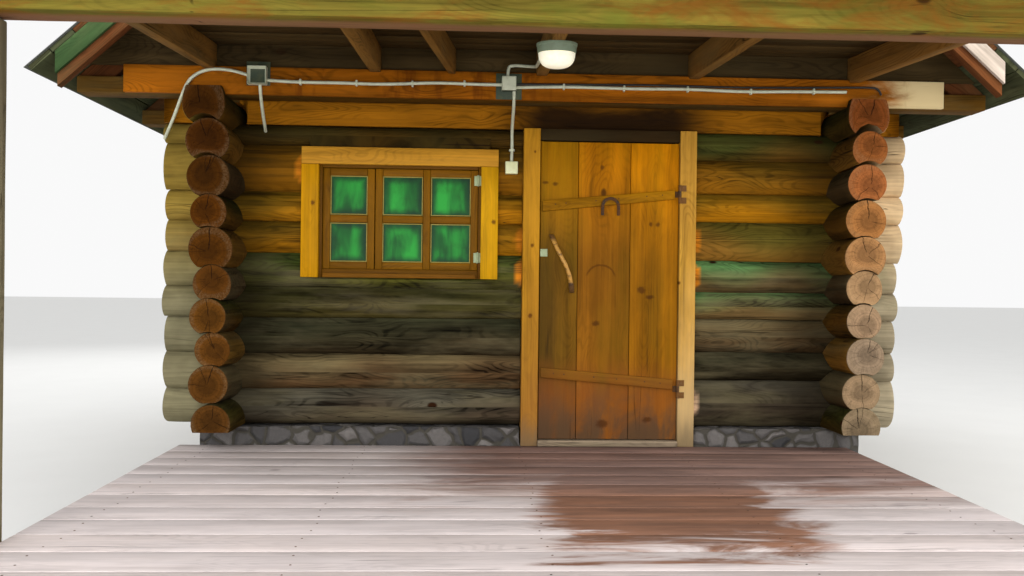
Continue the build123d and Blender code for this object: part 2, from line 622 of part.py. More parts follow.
def make_trusses():
    """Ties on the side logs, infill between them, the rafters on their ends and at both verges."""
    middles = tie_middles()
    across = (-TIE_HALF_LENGTH, TIE_HALF_LENGTH)
    level = (TIE_LOW, TIE_TOP)
    seat_y = (-TIE_FRONT, CABIN_DEPTH + TIE_FRONT)
    seat_x = ((-TIE_HALF_LENGTH, -TIE_SEAT_X), (TIE_SEAT_X, TIE_HALF_LENGTH))
    seats = [block(x, seat_y, (TIE_SEAT_Z, TIE_TOP)) for x in seat_x]
    save("tie_beams", *[block(across, around(y, TIE_WIDTH), level) - seats for y in middles])
    infill = []
    for near, far in zip(middles, middles[1:]):
        bay = (near + TIE_WIDTH / 2, far - TIE_WIDTH / 2)
        infill += [block(around(x, INFILL_WIDTH), bay, level) for x in (-SIDE_WALL_X, SIDE_WALL_X)]
    top_logs = [block(FRONT_SPAN, around(y, TOP_LOG_WIDTH), level) for y in (0, CABIN_DEPTH)]
    save("tie_infill", *[piece - top_logs for piece in infill])
    face_x = (-FACE_BOARD_HALF_LENGTH, FACE_BOARD_HALF_LENGTH)
    save("face_board", block(face_x, (-FACE_BOARD_FACE, -TIE_FRONT), level))

    end = -TIE_FRONT + GABLE_BOARD
    rafter_y = [end] + [y - RAFTER_WIDTH / 2 for y in middles[1:-1]]
    rafter_y.append(CABIN_DEPTH - end - RAFTER_WIDTH)
    verge_y = [-TIE_FRONT - VERGE_REACH, CABIN_DEPTH + TIE_FRONT + VERGE_REACH - RAFTER_WIDTH]
    barge_y = [-VERGE_FACE, CABIN_DEPTH + VERGE_FACE - BARGE_THICKNESS]
    rafters = []
    barges = []
    for side, cut in ((-1, LEFT_BARGE_FOOT), (1, RIGHT_BARGE_FOOT)):
        ridge = side * RIDGE_GAP / 2
        foot = side * roof_x(TIE_SEAT_Z)
        heel = side * roof_x(TIE_SEAT_Z + RAFTER_DROP)
        for y in rafter_y:
            top = [under_roof(foot, y), under_roof(ridge, y)]
            low = [under_roof(ridge, y, RAFTER_DROP), under_roof(heel, y, RAFTER_DROP)]
            rafters.append(prism(top + low, (0, 1, 0), RAFTER_WIDTH))
        plumb = side * (EAVE_X - cut)
        for y in verge_y:
            top = [under_roof(plumb, y), under_roof(ridge, y)]
            low = [under_roof(ridge, y, RAFTER_DROP), under_roof(plumb, y, RAFTER_DROP)]
            rafters.append(prism(top + low, (0, 1, 0), RAFTER_WIDTH))
        for y in barge_y:
            top = [under_roof(plumb, y), under_roof(ridge, y)]
            low = [under_roof(ridge, y, BARGE_DROP), under_roof(plumb, y, BARGE_DROP)]
            barges.append(prism(top + low, (0, 1, 0), BARGE_THICKNESS))
    save("rafters", *rafters)
    save("bargeboards", *barges)


def make_main_roof():
    """Board slopes, the felt folded over the ridge, gable boards and ceiling."""
    near = -VERGE_FACE
    length = CABIN_DEPTH + 2 * VERGE_FACE
    slopes = []
    for side in (-1, 1):
        ridge = side * RIDGE_GAP / 2
        eave = side * EAVE_X
        peak = under_roof(ridge, near, -ROOF_BOARD / cos(radians(ROOF_PITCH)))
        outline = [under_roof(ridge, near), under_roof(eave, near), roof_point(eave, ROOF_BOARD, near), peak]
        slopes.append(prism(outline, (0, 1, 0), length))
    save("roof_boards", *slopes)

    lip = EAVE_X + FELT_LIP * cos(radians(ROOF_PITCH))
    near -= FELT_LIP
    low = ROOF_BOARD
    high = ROOF_BOARD + ROOF_FELT
    low_peak = under_roof(0, near, -low / cos(radians(ROOF_PITCH)))
    high_peak = under_roof(0, near, -high / cos(radians(ROOF_PITCH)))
    under = [roof_point(-lip, low, near), low_peak, roof_point(lip, low, near)]
    over = [roof_point(lip, high, near), high_peak, roof_point(-lip, high, near)]
    save("roof_felt", prism(under + over, (0, 1, 0), length + 2 * FELT_LIP))

    foot = roof_x(TIE_TOP)
    gables = []
    for y in (-TIE_FRONT, CABIN_DEPTH + TIE_FRONT - GABLE_BOARD):
        triangle = [under_roof(-foot, y), under_roof(foot, y), under_roof(0, y)]
        gables.append(prism(triangle, (0, 1, 0), GABLE_BOARD))
    save("gable_boards", *gables)
    ceiling_x = SIDE_WALL_X + CEILING_LAP
    middles = tie_middles()
    ceiling_y = (middles[0], middles[-1])
    save("ceiling_boards", block((-ceiling_x, ceiling_x), ceiling_y, (TIE_TOP, TIE_TOP + CEILING_BOARD)))


def joist_low(y):
    """Height of the porch joists' underside at a distance in front of the wall's axis."""
    return JOIST_LOW_AT_WALL - JOIST_FALL * (y - TIE_FRONT)


def make_porch():
    """Posts, front beam, joists notched over it, and the lean-to's boards and felt."""
    beam_y = around(-FRONT_BEAM_Y, FRONT_BEAM_SIZE)
    beam_x = (-FRONT_BEAM_HALF_LENGTH, FRONT_BEAM_HALF_LENGTH)
    beam = block(beam_x, beam_y, (FRONT_BEAM_LOW, FRONT_BEAM_TOP))
    save("porch_front_beam", beam)
    post_y = around(-FRONT_BEAM_Y, PORCH_POST_SIZE)
    post_x = [around(x, PORCH_POST_SIZE) for x in (-PORCH_POST_X, PORCH_POST_X)]
    save("porch_posts", *[block(x, post_y, (-DECK_TOP, FRONT_BEAM_LOW)) for x in post_x])

    seat = block(beam_x, (-FACE_BOARD_FACE, -TIE_FRONT), (TIE_LOW, TIE_TOP))
    bars = [(x, x, JOIST_WIDTH) for x in JOIST_PLACES] + [(*LATH_ENDS, LATH_WIDTH)]
    joists = []
    for wall_x, eave_x, width in bars:
        start = wall_x - width / 2
        end = eave_x - width / 2
        outline = [
            place(start, -TIE_FRONT, joist_low(TIE_FRONT)),
            place(start, -TIE_FRONT, joist_low(TIE_FRONT) + JOIST_DEPTH),
            place(end, -PORCH_REACH, joist_low(PORCH_REACH) + JOIST_DEPTH),
            place(end, -PORCH_REACH, joist_low(PORCH_REACH)),
        ]
        joists.append(prism(outline, (1, 0, 0), width) - seat - beam)
    save("porch_joists", *joists)

    def sheet(half_width, near, far, low, high):
        outline = [
            place(-half_width, -near, joist_low(near) + low),
            place(-half_width, -near, joist_low(near) + high),
            place(-half_width, -far, joist_low(far) + high),
            place(-half_width, -far, joist_low(far) + low),
        ]
        return prism(outline, (1, 0, 0), 2 * half_width)

    boards_top = JOIST_DEPTH + PORCH_BOARD
    save("porch_roof_boards", sheet(PORCH_HALF_WIDTH, TIE_FRONT, PORCH_REACH, JOIST_DEPTH, boards_top))
    felt_top = boards_top + PORCH_FELT
    felt_x = PORCH_HALF_WIDTH + PORCH_FELT_LIP
    save("porch_felt", sheet(felt_x, TIE_FRONT, PORCH_REACH + PORCH_FELT_LIP, boards_top, felt_top))


def tube(points, bends, radius):
    """Tube along straight runs joined by tangent arcs, with a flat towards the wall."""
    route = FilletPolyline(*[place(*point) for point in points], radius=bends)
    start = Plane(origin=route @ 0, x_dir=(0, 1, 0), z_dir=route % 0)
    return sweep(start * many_sided(radius, TUBE_SIDES), path=route)


def make_fittings():
    """Junction boxes on their plates, the switch, the lamp under the middle joist, and the wiring."""
    boxes = []
    plates = []
    for x, z, size, plate, plate_z in (
        (LEFT_BOX_X, LEFT_BOX_Z, LEFT_BOX_SIZE, LEFT_PLATE_SIZE, LEFT_PLATE_Z),
        (MIDDLE_BOX_X, MIDDLE_BOX_Z, MIDDLE_BOX_SIZE, MIDDLE_PLATE_SIZE, MIDDLE_PLATE_Z),
    ):
        plate_out = -FACE_BOARD_FACE - BACK_PLATE
        plates.append(block(around(x, plate[0]), (plate_out, -FACE_BOARD_FACE), around(plate_z, plate[1])))
        boxes.append(block(around(x, size[0]), (plate_out - size[2], plate_out), around(z, size[1])))
    save("junction_boxes", *boxes)
    save("box_back_plates", *plates)

    switch_back = -LOG_RADIUS - CLIP_GAP
    switch_y = (switch_back - SWITCH_SIZE[2], switch_back)
    save("wall_switch", block(around(SWITCH_X, SWITCH_SIZE[0]), switch_y, around(SWITCH_Z, SWITCH_SIZE[1])))

    down = (0, JOIST_FALL, -1)
    ceiling = Plane(origin=place(0, -LAMP_Y, joist_low(LAMP_Y)), x_dir=(1, 0, 0), z_dir=down)
    save("lamp_base", ceiling * extrude(many_sided(LAMP_RADIUS, LAMP_SIDES), LAMP_BASE))
    curve = (LAMP_DOME_RADIUS**2 + LAMP_DOME**2) / (2 * LAMP_DOME)
    rim = asin(LAMP_DOME_RADIUS / curve)
    angles = [rim * (1 - i / (LAMP_DOME_RINGS + 1)) for i in range(LAMP_DOME_RINGS + 1)]
    rings = []
    for wide, narrow in zip(angles, angles[1:]):
        section = Pos(0, 0, LAMP_DOME - curve * (1 - cos(wide))) * many_sided(curve * sin(wide), LAMP_SIDES)
        rise = curve * (cos(narrow) - cos(wide))
        lean = atan2(curve * (sin(wide) - sin(narrow)), rise)
        rings.append(extrude(section, rise, taper=degrees(lean)))
    save("lamp_dome", ceiling.offset(LAMP_BASE) * (rings[0] + rings[1:]))
    make_wiring(boxes + plates)


def make_wiring(housings):
    """Conduits from box to box, to the switch, the lamp and the corner, and the cable above them."""
    face = -CONDUIT_OUT - BACK_PLATE
    wall = -LOG_RADIUS - CONDUIT_RADIUS - CLIP_GAP
    step = (TIE_LOW - STEP_TOP, TIE_LOW - STEP_LOW)
    beside_joist = -JOIST_WIDTH / 2 - CONDUIT_CORNER - CLIP_GAP
    loop_z = TIE_TOP + LAMP_LOOP_RISE
    run_start = TIE_FRONT + LAMP_RUN_START
    lamp_top = joist_low(LAMP_Y - LAMP_RADIUS) + CONDUIT_RADIUS
    routes = [
        [(x, face, z) for x, z in BETWEEN_BOXES],
        [(x, face, z) for x, z in TO_RIGHT],
        [(x, face, z) for x, z in TO_CORNER] + [(CORNER_END_X, wall, front_log_z(COURSES))],
        [
            (SWITCH_X, face, MIDDLE_BOX_Z),
            (SWITCH_X, face, step[0]),
            (SWITCH_X, wall, step[1]),
            (SWITCH_X, wall, SWITCH_Z + SWITCH_SIZE[1] / 2),
        ],
        [(DROP_X, face, LEFT_BOX_Z), (DROP_X, face, step[0]), (DROP_END[0], wall, DROP_END[1])],
        [
            (MIDDLE_BOX_X, face, MIDDLE_BOX_Z),
            (MIDDLE_BOX_X, face, loop_z),
            (beside_joist - LAMP_LOOP_TURN, face, loop_z),
            (beside_joist, -run_start, joist_low(run_start) + LAMP_RUN_LIFT),
            (beside_joist, -LAMP_Y + LAMP_RADIUS / 2, lamp_top),
        ],
    ]
    tubes = [tube(points, CONDUIT_BEND, CONDUIT_RADIUS) - housings for points in routes]
    save("white_conduits", *tubes)
    cable = [(x, -CABLE_OUT - BACK_PLATE, z) for x, z in CABLE_ROUTE]
    save("black_cable", tube(cable, CABLE_BEND, CABLE_RADIUS) - housings)


os.makedirs("parts", exist_ok=True)
make_plinth()
make_front_wall()
make_rear_wall()
make_side_walls()
make_floor()
make_door_frame()
make_door_leaf()
make_window()
make_trusses()
make_main_roof()
make_porch()
make_fittings()
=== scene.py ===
# %% [markdown]
# # A small log cabin with a covered plank porch
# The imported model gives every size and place. This script gives the cabin its looks: rounded logs with
# cut ends, separate boards where the frame has sheets, and materials made only of nodes.
# All lengths are in metres. +X runs along the front, +Y into the cabin, and the ground is at zero.

# %% Load the frame
import math
import random

import bmesh
import bpy
from mathutils import Matrix, Vector, noise


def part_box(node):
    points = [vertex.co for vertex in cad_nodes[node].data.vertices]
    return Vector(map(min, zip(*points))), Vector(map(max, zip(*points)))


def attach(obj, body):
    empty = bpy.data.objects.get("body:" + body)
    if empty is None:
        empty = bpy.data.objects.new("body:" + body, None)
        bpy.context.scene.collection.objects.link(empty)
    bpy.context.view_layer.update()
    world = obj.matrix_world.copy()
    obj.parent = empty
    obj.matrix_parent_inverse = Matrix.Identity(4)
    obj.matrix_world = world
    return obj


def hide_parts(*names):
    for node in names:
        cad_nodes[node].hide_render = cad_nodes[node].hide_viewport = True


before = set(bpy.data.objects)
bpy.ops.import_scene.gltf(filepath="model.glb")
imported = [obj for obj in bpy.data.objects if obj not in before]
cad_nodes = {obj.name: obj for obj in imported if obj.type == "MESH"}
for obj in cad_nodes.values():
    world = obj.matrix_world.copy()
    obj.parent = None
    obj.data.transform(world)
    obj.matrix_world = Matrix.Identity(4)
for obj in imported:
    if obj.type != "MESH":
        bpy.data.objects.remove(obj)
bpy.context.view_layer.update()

# %% [markdown]
# ## The camera
# The photographer stood low in front of the porch, a little left of the middle, with a wide lens. The
# scale on the wall gives the distance, and the lines of the eaves and the deck give the small turns.

# %% Camera
FRONT_Y = -0.745          # axis of the front wall's logs
DECK_Z = 0.300            # upper side of the deck
LOG_RADIUS = 0.112
EYE_X = -0.365
EYE_DISTANCE = 5.2        # from the logs' front
EYE_HEIGHT = 0.91         # over the deck
IMAGE_WIDTH = 1024        # pixels, as is the focal length
FOCAL_LENGTH = 912
SENSOR_WIDTH = 36.0       # millimetres
TURNED_RIGHT, TILTED_DOWN, ROLLED = 2.5, 0.16, 0.7   # degrees

camera_data = bpy.data.cameras.new("camera")
camera_data.sensor_width = SENSOR_WIDTH
camera_data.lens = SENSOR_WIDTH * FOCAL_LENGTH / IMAGE_WIDTH
camera = bpy.data.objects.new("camera", camera_data)
bpy.context.scene.collection.objects.link(camera)
camera.location = (EYE_X, FRONT_Y - LOG_RADIUS - EYE_DISTANCE, DECK_Z + EYE_HEIGHT)
turn = Matrix.Rotation(math.radians(-TURNED_RIGHT), 4, "Z")
tilt = Matrix.Rotation(math.radians(90 - TILTED_DOWN), 4, "X")
roll = Matrix.Rotation(math.radians(ROLLED), 4, "Z")
camera.rotation_euler = (turn @ tilt @ roll).to_euler()
bpy.context.scene.camera = camera
print("camera at", [round(v, 3) for v in camera.location], "lens", round(camera_data.lens, 1), "mm")

# %% [markdown]
# ## Small helpers for node trees
# A material is a tree of nodes. Writing each link by hand is long, so one helper adds a node with its
# settings and inputs, and the others wrap the nodes that every finish here needs.

# %% Node helpers
def paint(red, green, blue):
    """Colour picker values, 0 to 255, as the linear colour that nodes use."""
    def linear(value):
        value /= 255
        return value / 12.92 if value <= 0.04045 else ((value + 0.055) / 1.055) ** 2.4
    return (linear(red), linear(green), linear(blue), 1.0)


def put(tree, kind, inputs=(), **settings):
    """Adds a node, with its inputs as (socket, value or output) pairs."""
    made = tree.nodes.new(kind)
    for name, value in settings.items():
        setattr(made, name, value)
    for name, value in inputs:
        if isinstance(value, bpy.types.NodeSocket):
            tree.links.new(value, made.inputs[name])
        else:
            made.inputs[name].default_value = value
    return made


def calc(tree, operation, *values):
    """Output of a Math node."""
    return put(tree, "ShaderNodeMath", enumerate(values), operation=operation).outputs[0]


def times(tree, first, second):
    """The product of two numbers."""
    return calc(tree, "MULTIPLY", first, second)


def times_plus(tree, first, second, third):
    """The product of two numbers, with a third one added."""
    return calc(tree, "MULTIPLY_ADD", first, second, third)


def apart(tree, first, second):
    """How far two numbers lie apart."""
    return calc(tree, "ABSOLUTE", calc(tree, "SUBTRACT", first, second))


def coordinates(tree, vector):
    """The three numbers of a vector."""
    return put(tree, "ShaderNodeSeparateXYZ", ((0, vector),)).outputs


def vector_of(tree, x=0.0, y=0.0, z=0.0):
    """A vector from three numbers."""
    return put(tree, "ShaderNodeCombineXYZ", ((0, x), (1, y), (2, z))).outputs[0]


def length_of(tree, vector):
    """The length of a vector."""
    return put(tree, "ShaderNodeVectorMath", ((0, vector),), operation="LENGTH").outputs["Value"]


def scaled(tree, vector, factor):
    """A vector or a colour times one number; a colour gets brighter or darker."""
    return put(tree, "ShaderNodeVectorMath", ((0, vector), ("Scale", factor)), operation="SCALE").outputs[0]


def added(tree, first, second):
    """The sum of two vectors."""
    return put(tree, "ShaderNodeVectorMath", ((0, first), (1, second))).outputs[0]


print("colour 200, 150, 90 in nodes:", [round(v, 3) for v in paint(200, 150, 90)])

# %% Helpers for colours and textures
def mixed(tree, amount, first, second, mode="MIX"):
    """Output of a colour Mix node."""
    inputs = ((0, amount), (6, first), (7, second))
    return put(tree, "ShaderNodeMix", inputs, data_type="RGBA", blend_type=mode).outputs[2]


def tinted(tree, colour, mask, strength, tint):
    """The colour with a tint, given as colour picker values, where the mask is."""
    return mixed(tree, times(tree, mask, strength), colour, paint(*tint))


def faded(tree, value, low, high):
    """0 at low, 1 at high, with a smooth step between; low may be the larger."""
    inputs = (("Value", value), ("From Min", low), ("From Max", high))
    return put(tree, "ShaderNodeMapRange", inputs, interpolation_type="SMOOTHSTEP").outputs[0]


def speckle(tree, vector, scale, detail=3.0, roughness=0.55, distortion=0.0):
    """Value of a Noise texture."""
    inputs = (("Vector", vector), ("Scale", scale), ("Detail", detail),
              ("Roughness", roughness), ("Distortion", distortion))
    return put(tree, "ShaderNodeTexNoise", inputs).outputs["Fac"]


def stretched(tree, vector, scale, shift=(0, 0, 0)):
    """The vector multiplied and shifted, each axis by its own number."""
    grown = put(tree, "ShaderNodeVectorMath", ((0, vector), (1, scale)), operation="MULTIPLY").outputs[0]
    return added(tree, grown, shift)


print("helpers:", ", ".join(helper.__name__ for helper in (mixed, tinted, faded, speckle, stretched)))

# %% Helpers for groups
FLOAT = "NodeSocketFloat"
VECTOR = "NodeSocketVector"


def new_group(name, inputs, outputs):
    """Empty shader group with named float or vector inputs and float outputs."""
    group = bpy.data.node_groups.new(name, "ShaderNodeTree")
    for label, kind, value in inputs:
        socket = group.interface.new_socket(label, in_out="INPUT", socket_type=kind)
        if value is not None:
            socket.default_value = value
    for label in outputs:
        group.interface.new_socket(label, in_out="OUTPUT", socket_type=FLOAT)
    return group, put(group, "NodeGroupInput").outputs, put(group, "NodeGroupOutput").inputs


def place_group(tree, group, **inputs):
    """Places a group in a tree, with its inputs by name, and returns its outputs."""
    made = put(tree, "ShaderNodeGroup", (), node_tree=group)
    for name, value in inputs.items():
        socket = made.inputs[name.replace("_", " ")]
        if isinstance(value, bpy.types.NodeSocket):
            tree.links.new(value, socket)
        else:
            socket.default_value = value
    return made.outputs


print("group sockets:", FLOAT, VECTOR)

# %% [markdown]
# ## Wood, once for all pieces
# Grain runs along each log or board, whichever way it points. So every wooden piece carries its own map,
# "grain": metres along the piece and metres across it. A colour attribute, "tone", holds the piece's own
# colour, and its alpha a number that shifts the pattern, so no two boards look the same.
# The pattern itself is one shader group: fine fibres, broad streaks, knots and drying cracks.

# %% Grain group
grain_group, given, out = new_group(
    "wood grain",
    [("Vector", VECTOR, None), ("Fineness", FLOAT, 60.0), ("Knots", FLOAT, 1.0), ("Cracks", FLOAT, 1.0)],
    ["Fibre", "Streak", "Figure", "Knot", "Crack"],
)
along = given["Vector"]
wide_cells = (("Vector", stretched(grain_group, along, (2.0, 3.2, 3.2))), ("Scale", 1.0))
knot_cells = put(grain_group, "ShaderNodeTexVoronoi", wide_cells).outputs["Distance"]
pull = times(grain_group, faded(grain_group, knot_cells, 0.42, 0.0), given["Knots"])
aside = vector_of(grain_group, 0.0, times(grain_group, pull, 0.03), times(grain_group, pull, 0.02))
bent = added(grain_group, along, aside)
parts = coordinates(grain_group, bent)
fine = vector_of(grain_group, times(grain_group, parts[0], 1.6), times(grain_group, parts[1], given["Fineness"]),
                 times(grain_group, parts[2], given["Fineness"]))
grain_group.links.new(speckle(grain_group, fine, 1.0, 6.0, 0.62, 0.25), out["Fibre"])
broad = speckle(grain_group, stretched(grain_group, bent, (0.55, 11.0, 11.0)), 1.0, 4.0, 0.55, 0.8)
grain_group.links.new(faded(grain_group, broad, 0.3, 0.72), out["Streak"])
layers = speckle(grain_group, stretched(grain_group, bent, (1.1, 7.5, 7.5), (2, 8, 5)), 1.0, 1.5, 0.45)
layers = calc(grain_group, "ADD", layers, times(grain_group, knot_cells, 0.35))
wave = calc(grain_group, "SINE", times(grain_group, layers, 120.0))
strong = speckle(grain_group, stretched(grain_group, along, (1.5, 6, 6), (7, 3, 1)), 1.0)
strong = faded(grain_group, strong, 0.38, 0.62)
grain_group.links.new(times(grain_group, faded(grain_group, wave, 0.0, 1.0), strong), out["Figure"])
knot = times(grain_group, faded(grain_group, knot_cells, 0.075, 0.04), given["Knots"])
grain_group.links.new(knot, out["Knot"])
long_lines = speckle(grain_group, stretched(grain_group, bent, (0.4, 24, 24), (3, 5, 7)), 1.0, 1.0)
near_line = faded(grain_group, apart(grain_group, long_lines, 0.5), 0.014, 0.002)
where = speckle(grain_group, stretched(grain_group, along, (0.9, 5, 5), (9, 2, 4)), 1.0)
where = faded(grain_group, where, 0.52, 0.6)
crack = times(grain_group, times(grain_group, near_line, where), given["Cracks"])
grain_group.links.new(crack, out["Crack"])
print("group", grain_group.name, "has", len(grain_group.nodes), "nodes")

# %% [markdown]
# ## The sawn end of a log
# Yearly rings lie round the pith, and a drying log splits from the pith outwards. On end faces the
# "grain" map holds metres from the pith, so the rings are its length, and the splits are its direction.

# %% End grain group
ring_group, given, out = new_group(
    "end grain", [("Vector", VECTOR, None), ("Seed", FLOAT, 0.0), ("Radius", FLOAT, 0.11)],
    ["Ring", "Heart", "Split", "Rim"])
parts = coordinates(ring_group, given["Vector"])
seeded = vector_of(ring_group, parts[0], parts[1], given["Seed"])
from_pith = length_of(ring_group, given["Vector"])
uneven = calc(ring_group, "ADD", from_pith, times(ring_group, speckle(ring_group, seeded, 14.0), 0.02))
fine_rings = calc(ring_group, "SINE", times(ring_group, uneven, 1500.0))
years = vector_of(ring_group, times(ring_group, uneven, 85.0), given["Seed"])
rings = times_plus(ring_group, fine_rings, 0.18, speckle(ring_group, years, 1.0, 2.0))
ring_group.links.new(rings, out["Ring"])
outward = calc(ring_group, "DIVIDE", uneven, given["Radius"])
ring_group.links.new(faded(ring_group, outward, 0.78, 0.45), out["Heart"])
ring_group.links.new(faded(ring_group, outward, 0.88, 1.04), out["Rim"])
crooked = times_plus(ring_group, speckle(ring_group, seeded, 26.0), 0.024, -0.012)
splits = 0.0
for spin, start, width in ((0.8, 1.2, 0.0030), (23.0, 0.0, 0.0018), (41.0, 2.0, 0.0014)):
    angle = times_plus(ring_group, given["Seed"], spin, start)
    east, north = calc(ring_group, "COSINE", angle), calc(ring_group, "SINE", angle)
    ahead = times_plus(ring_group, parts[0], east, times(ring_group, parts[1], north))
    aside = calc(ring_group, "SUBTRACT", times(ring_group, parts[1], east), times(ring_group, parts[0], north))
    off_line = calc(ring_group, "ABSOLUTE", calc(ring_group, "ADD", aside, crooked))
    line = faded(ring_group, off_line, width, width * 0.3)
    split = times(ring_group, line, faded(ring_group, ahead, 0.002, 0.03))
    splits = calc(ring_group, "MAXIMUM", split, splits)
heading = put(ring_group, "ShaderNodeVectorMath", ((0, given["Vector"]),), operation="NORMALIZE").outputs[0]
fan = added(ring_group, stretched(ring_group, heading, (7.0, 7.0, 0)),
            vector_of(ring_group, 0.0, 0.0, times_plus(ring_group, from_pith, 6.0, given["Seed"])))
hair = faded(ring_group, apart(ring_group, speckle(ring_group, fan, 1.0, 3.0, 0.6), 0.5), 0.012, 0.002)
hair = times(ring_group, hair, faded(ring_group, from_pith, 0.02, 0.05))
ring_group.links.new(calc(ring_group, "MAXIMUM", times(ring_group, hair, 0.35), splits), out["Split"])
print("group", ring_group.name, "has", len(ring_group.nodes), "nodes")

# %% [markdown]
# ## Wood finishes
# One function makes every wood finish from the group: logs, rough timber, varnished boards and the grey
# deck differ in their contrast, gloss, cracks and weather. Weather is a second colour in soft patches.

# %% Material helpers
def new_material(name):
    """Empty material with its tree, shader and the Object coordinates."""
    material = bpy.data.materials.new(name)
    material.use_nodes = True
    tree = material.node_tree
    shader = tree.nodes["Principled BSDF"]
    spot = put(tree, "ShaderNodeTexCoord").outputs["Object"]
    return material, tree, shader, spot


def bumped(tree, shader, height, strength, distance):
    """Feeds a height into the shader's normal."""
    inputs = (("Height", height), ("Strength", strength), ("Distance", distance))
    tree.links.new(put(tree, "ShaderNodeBump", inputs).outputs[0], shader.inputs["Normal"])


def grain_map(tree):
    """The piece's own map with its seed as the third number, its tone and its seed."""
    tone = put(tree, "ShaderNodeAttribute", attribute_name="tone")
    spot = coordinates(tree, put(tree, "ShaderNodeUVMap", uv_map="grain").outputs[0])
    seed = tone.outputs["Alpha"]
    return vector_of(tree, spot[0], spot[1], times(tree, seed, 7.0)), tone.outputs["Color"], seed


print("helpers:", ", ".join(helper.__name__ for helper in (new_material, bumped, grain_map)))

# %% Side grain and end grain
WOOD_SHINE = 0.04


def wood(name, extra=None, contrast=1.0, weather=(110, 104, 84), weathered=0.4, fineness=60.0, knots=1.0,
         cracks=1.0, roughness=0.75, coat=0.0, relief=0.0012, figure=0.3):
    """Side grain in the piece's own tone; extra is a function that adds marks to the colour."""
    material, tree, shader, spot = new_material(name)
    vector, tone, _ = grain_map(tree)
    grain = place_group(tree, grain_group, Vector=vector, Fineness=fineness, Knots=knots, Cracks=cracks)
    blotch = speckle(tree, stretched(tree, vector, (2.6, 7, 7), (1, 9, 3)), 1.0, 4.0, 0.6)
    shade = times_plus(tree, grain["Streak"], 0.5, blotch)
    shade = times_plus(tree, grain["Fibre"], 0.9, shade)
    shade = times_plus(tree, shade, contrast, 1.0 - 1.16 * contrast)
    shade = calc(tree, "MAXIMUM", times_plus(tree, grain["Figure"], -figure, shade), 0.12)
    colour = scaled(tree, tone, shade)
    patch = faded(tree, speckle(tree, stretched(tree, vector, (1.3, 6, 6), (4, 1, 2)), 1.0, 5.0, 0.6), 0.42, 0.7)
    colour = tinted(tree, colour, patch, weathered, weather)
    if extra:
        colour = extra(tree, spot, colour, grain)
    colour = tinted(tree, colour, grain["Knot"], 0.85, (44, 24, 10))
    colour = tinted(tree, colour, grain["Crack"], 0.8, (24, 17, 10))
    tree.links.new(colour, shader.inputs["Base Color"])
    rough = times_plus(tree, grain["Fibre"], 0.25, roughness - 0.12)
    tree.links.new(rough, shader.inputs["Roughness"])
    shader.inputs["Specular IOR Level"].default_value = WOOD_SHINE
    shader.inputs["Coat Weight"].default_value = coat
    shader.inputs["Coat Roughness"].default_value = 0.3
    height = calc(tree, "SUBTRACT", times_plus(tree, grain["Streak"], 0.4, grain["Fibre"]), grain["Crack"])
    bumped(tree, shader, height, 0.8, relief)
    return material


def cut_end(name, radius=0.11):
    """End grain in the piece's own tone, with darker heartwood and a pale rim."""
    pale, deep = 1.35, 0.65
    material, tree, shader, _ = new_material(name)
    vector, tone, seed = grain_map(tree)
    flat = stretched(tree, vector, (1, 1, 0))
    ends = place_group(tree, ring_group, Vector=flat, Seed=seed, Radius=radius)
    blotch = speckle(tree, vector, 26.0, 5.0, 0.65)
    shade = times_plus(tree, blotch, pale - deep, deep)
    shade = times(tree, shade, times_plus(tree, ends["Ring"], 0.9, 0.5))
    shade = times(tree, shade, times_plus(tree, ends["Heart"], -0.4, 1.12))
    colour = scaled(tree, tone, shade)
    frayed = faded(tree, speckle(tree, vector, 110.0, 3.0), 0.3, 0.75)
    colour = tinted(tree, colour, times(tree, ends["Rim"], frayed), 0.12, (196, 170, 128))
    colour = tinted(tree, colour, ends["Split"], 0.85, (22, 13, 7))
    tree.links.new(colour, shader.inputs["Base Color"])
    shader.inputs["Roughness"].default_value = 0.85
    shader.inputs["Specular IOR Level"].default_value = WOOD_SHINE
    height = times_plus(tree, ends["Ring"], 0.3, blotch)
    height = calc(tree, "SUBTRACT", height, times(tree, ends["Split"], 3.0))
    bumped(tree, shader, height, 0.7, 0.002)
    return material


timber_wood = wood("rough timber", weather=(104, 98, 66), weathered=0.25, knots=0.8, cracks=0.9, roughness=0.8)
timber_end = cut_end("timber end", 0.2)
varnished_wood = wood("varnished board", contrast=0.75, weather=(150, 96, 30), weathered=0.2, fineness=75.0,
                      knots=0.7, cracks=0.25, roughness=0.55, coat=0.02, relief=0.0006, figure=0.2)
print("finishes:", timber_wood.name, timber_end.name, varnished_wood.name)

# %% [markdown]
# ## Painted shade and weather on the logs
# The corners under the porch roof are painted darker, as the shade that falls there. Outside its shelter the logs
# are bleached: they are yellow on the left, pale on the right, and grey near the ground.

# %% Log finishes
def corner_shade_and_bleaching(tree, spot, colour, grain):
    """Logs are painted darker in the corners under the porch roof, as shade, and bleached where it doesn't shelter
    them.
    """
    place = coordinates(tree, spot)
    aside = calc(tree, "ABSOLUTE", place[0])
    # painted shade: the logs get darker towards the corners beside the side walls
    colour = tinted(tree, colour, faded(tree, aside, 1.30, 1.66), 0.6, (24, 18, 6))
    open_air = calc(tree, "MAXIMUM", faded(tree, aside, 1.80, 1.92), faded(tree, place[1], -0.45, -0.25))
    blotch = faded(tree, speckle(tree, spot, 3.0, 4.0), 0.25, 0.75)
    dry = mixed(tree, faded(tree, place[0], -0.5, 0.5), paint(150, 126, 56), paint(214, 184, 142))
    dry = mixed(tree, faded(tree, place[1], -0.55, -0.3), dry, paint(172, 152, 112))
    dry = mixed(tree, times(tree, faded(tree, place[2], 1.7, 1.0), 0.6), dry, paint(136, 140, 124))
    dry = scaled(tree, dry, times_plus(tree, grain["Fibre"], 1.1, 0.4))
    return mixed(tree, times(tree, open_air, times_plus(tree, blotch, 0.5, 0.45)), colour, dry)


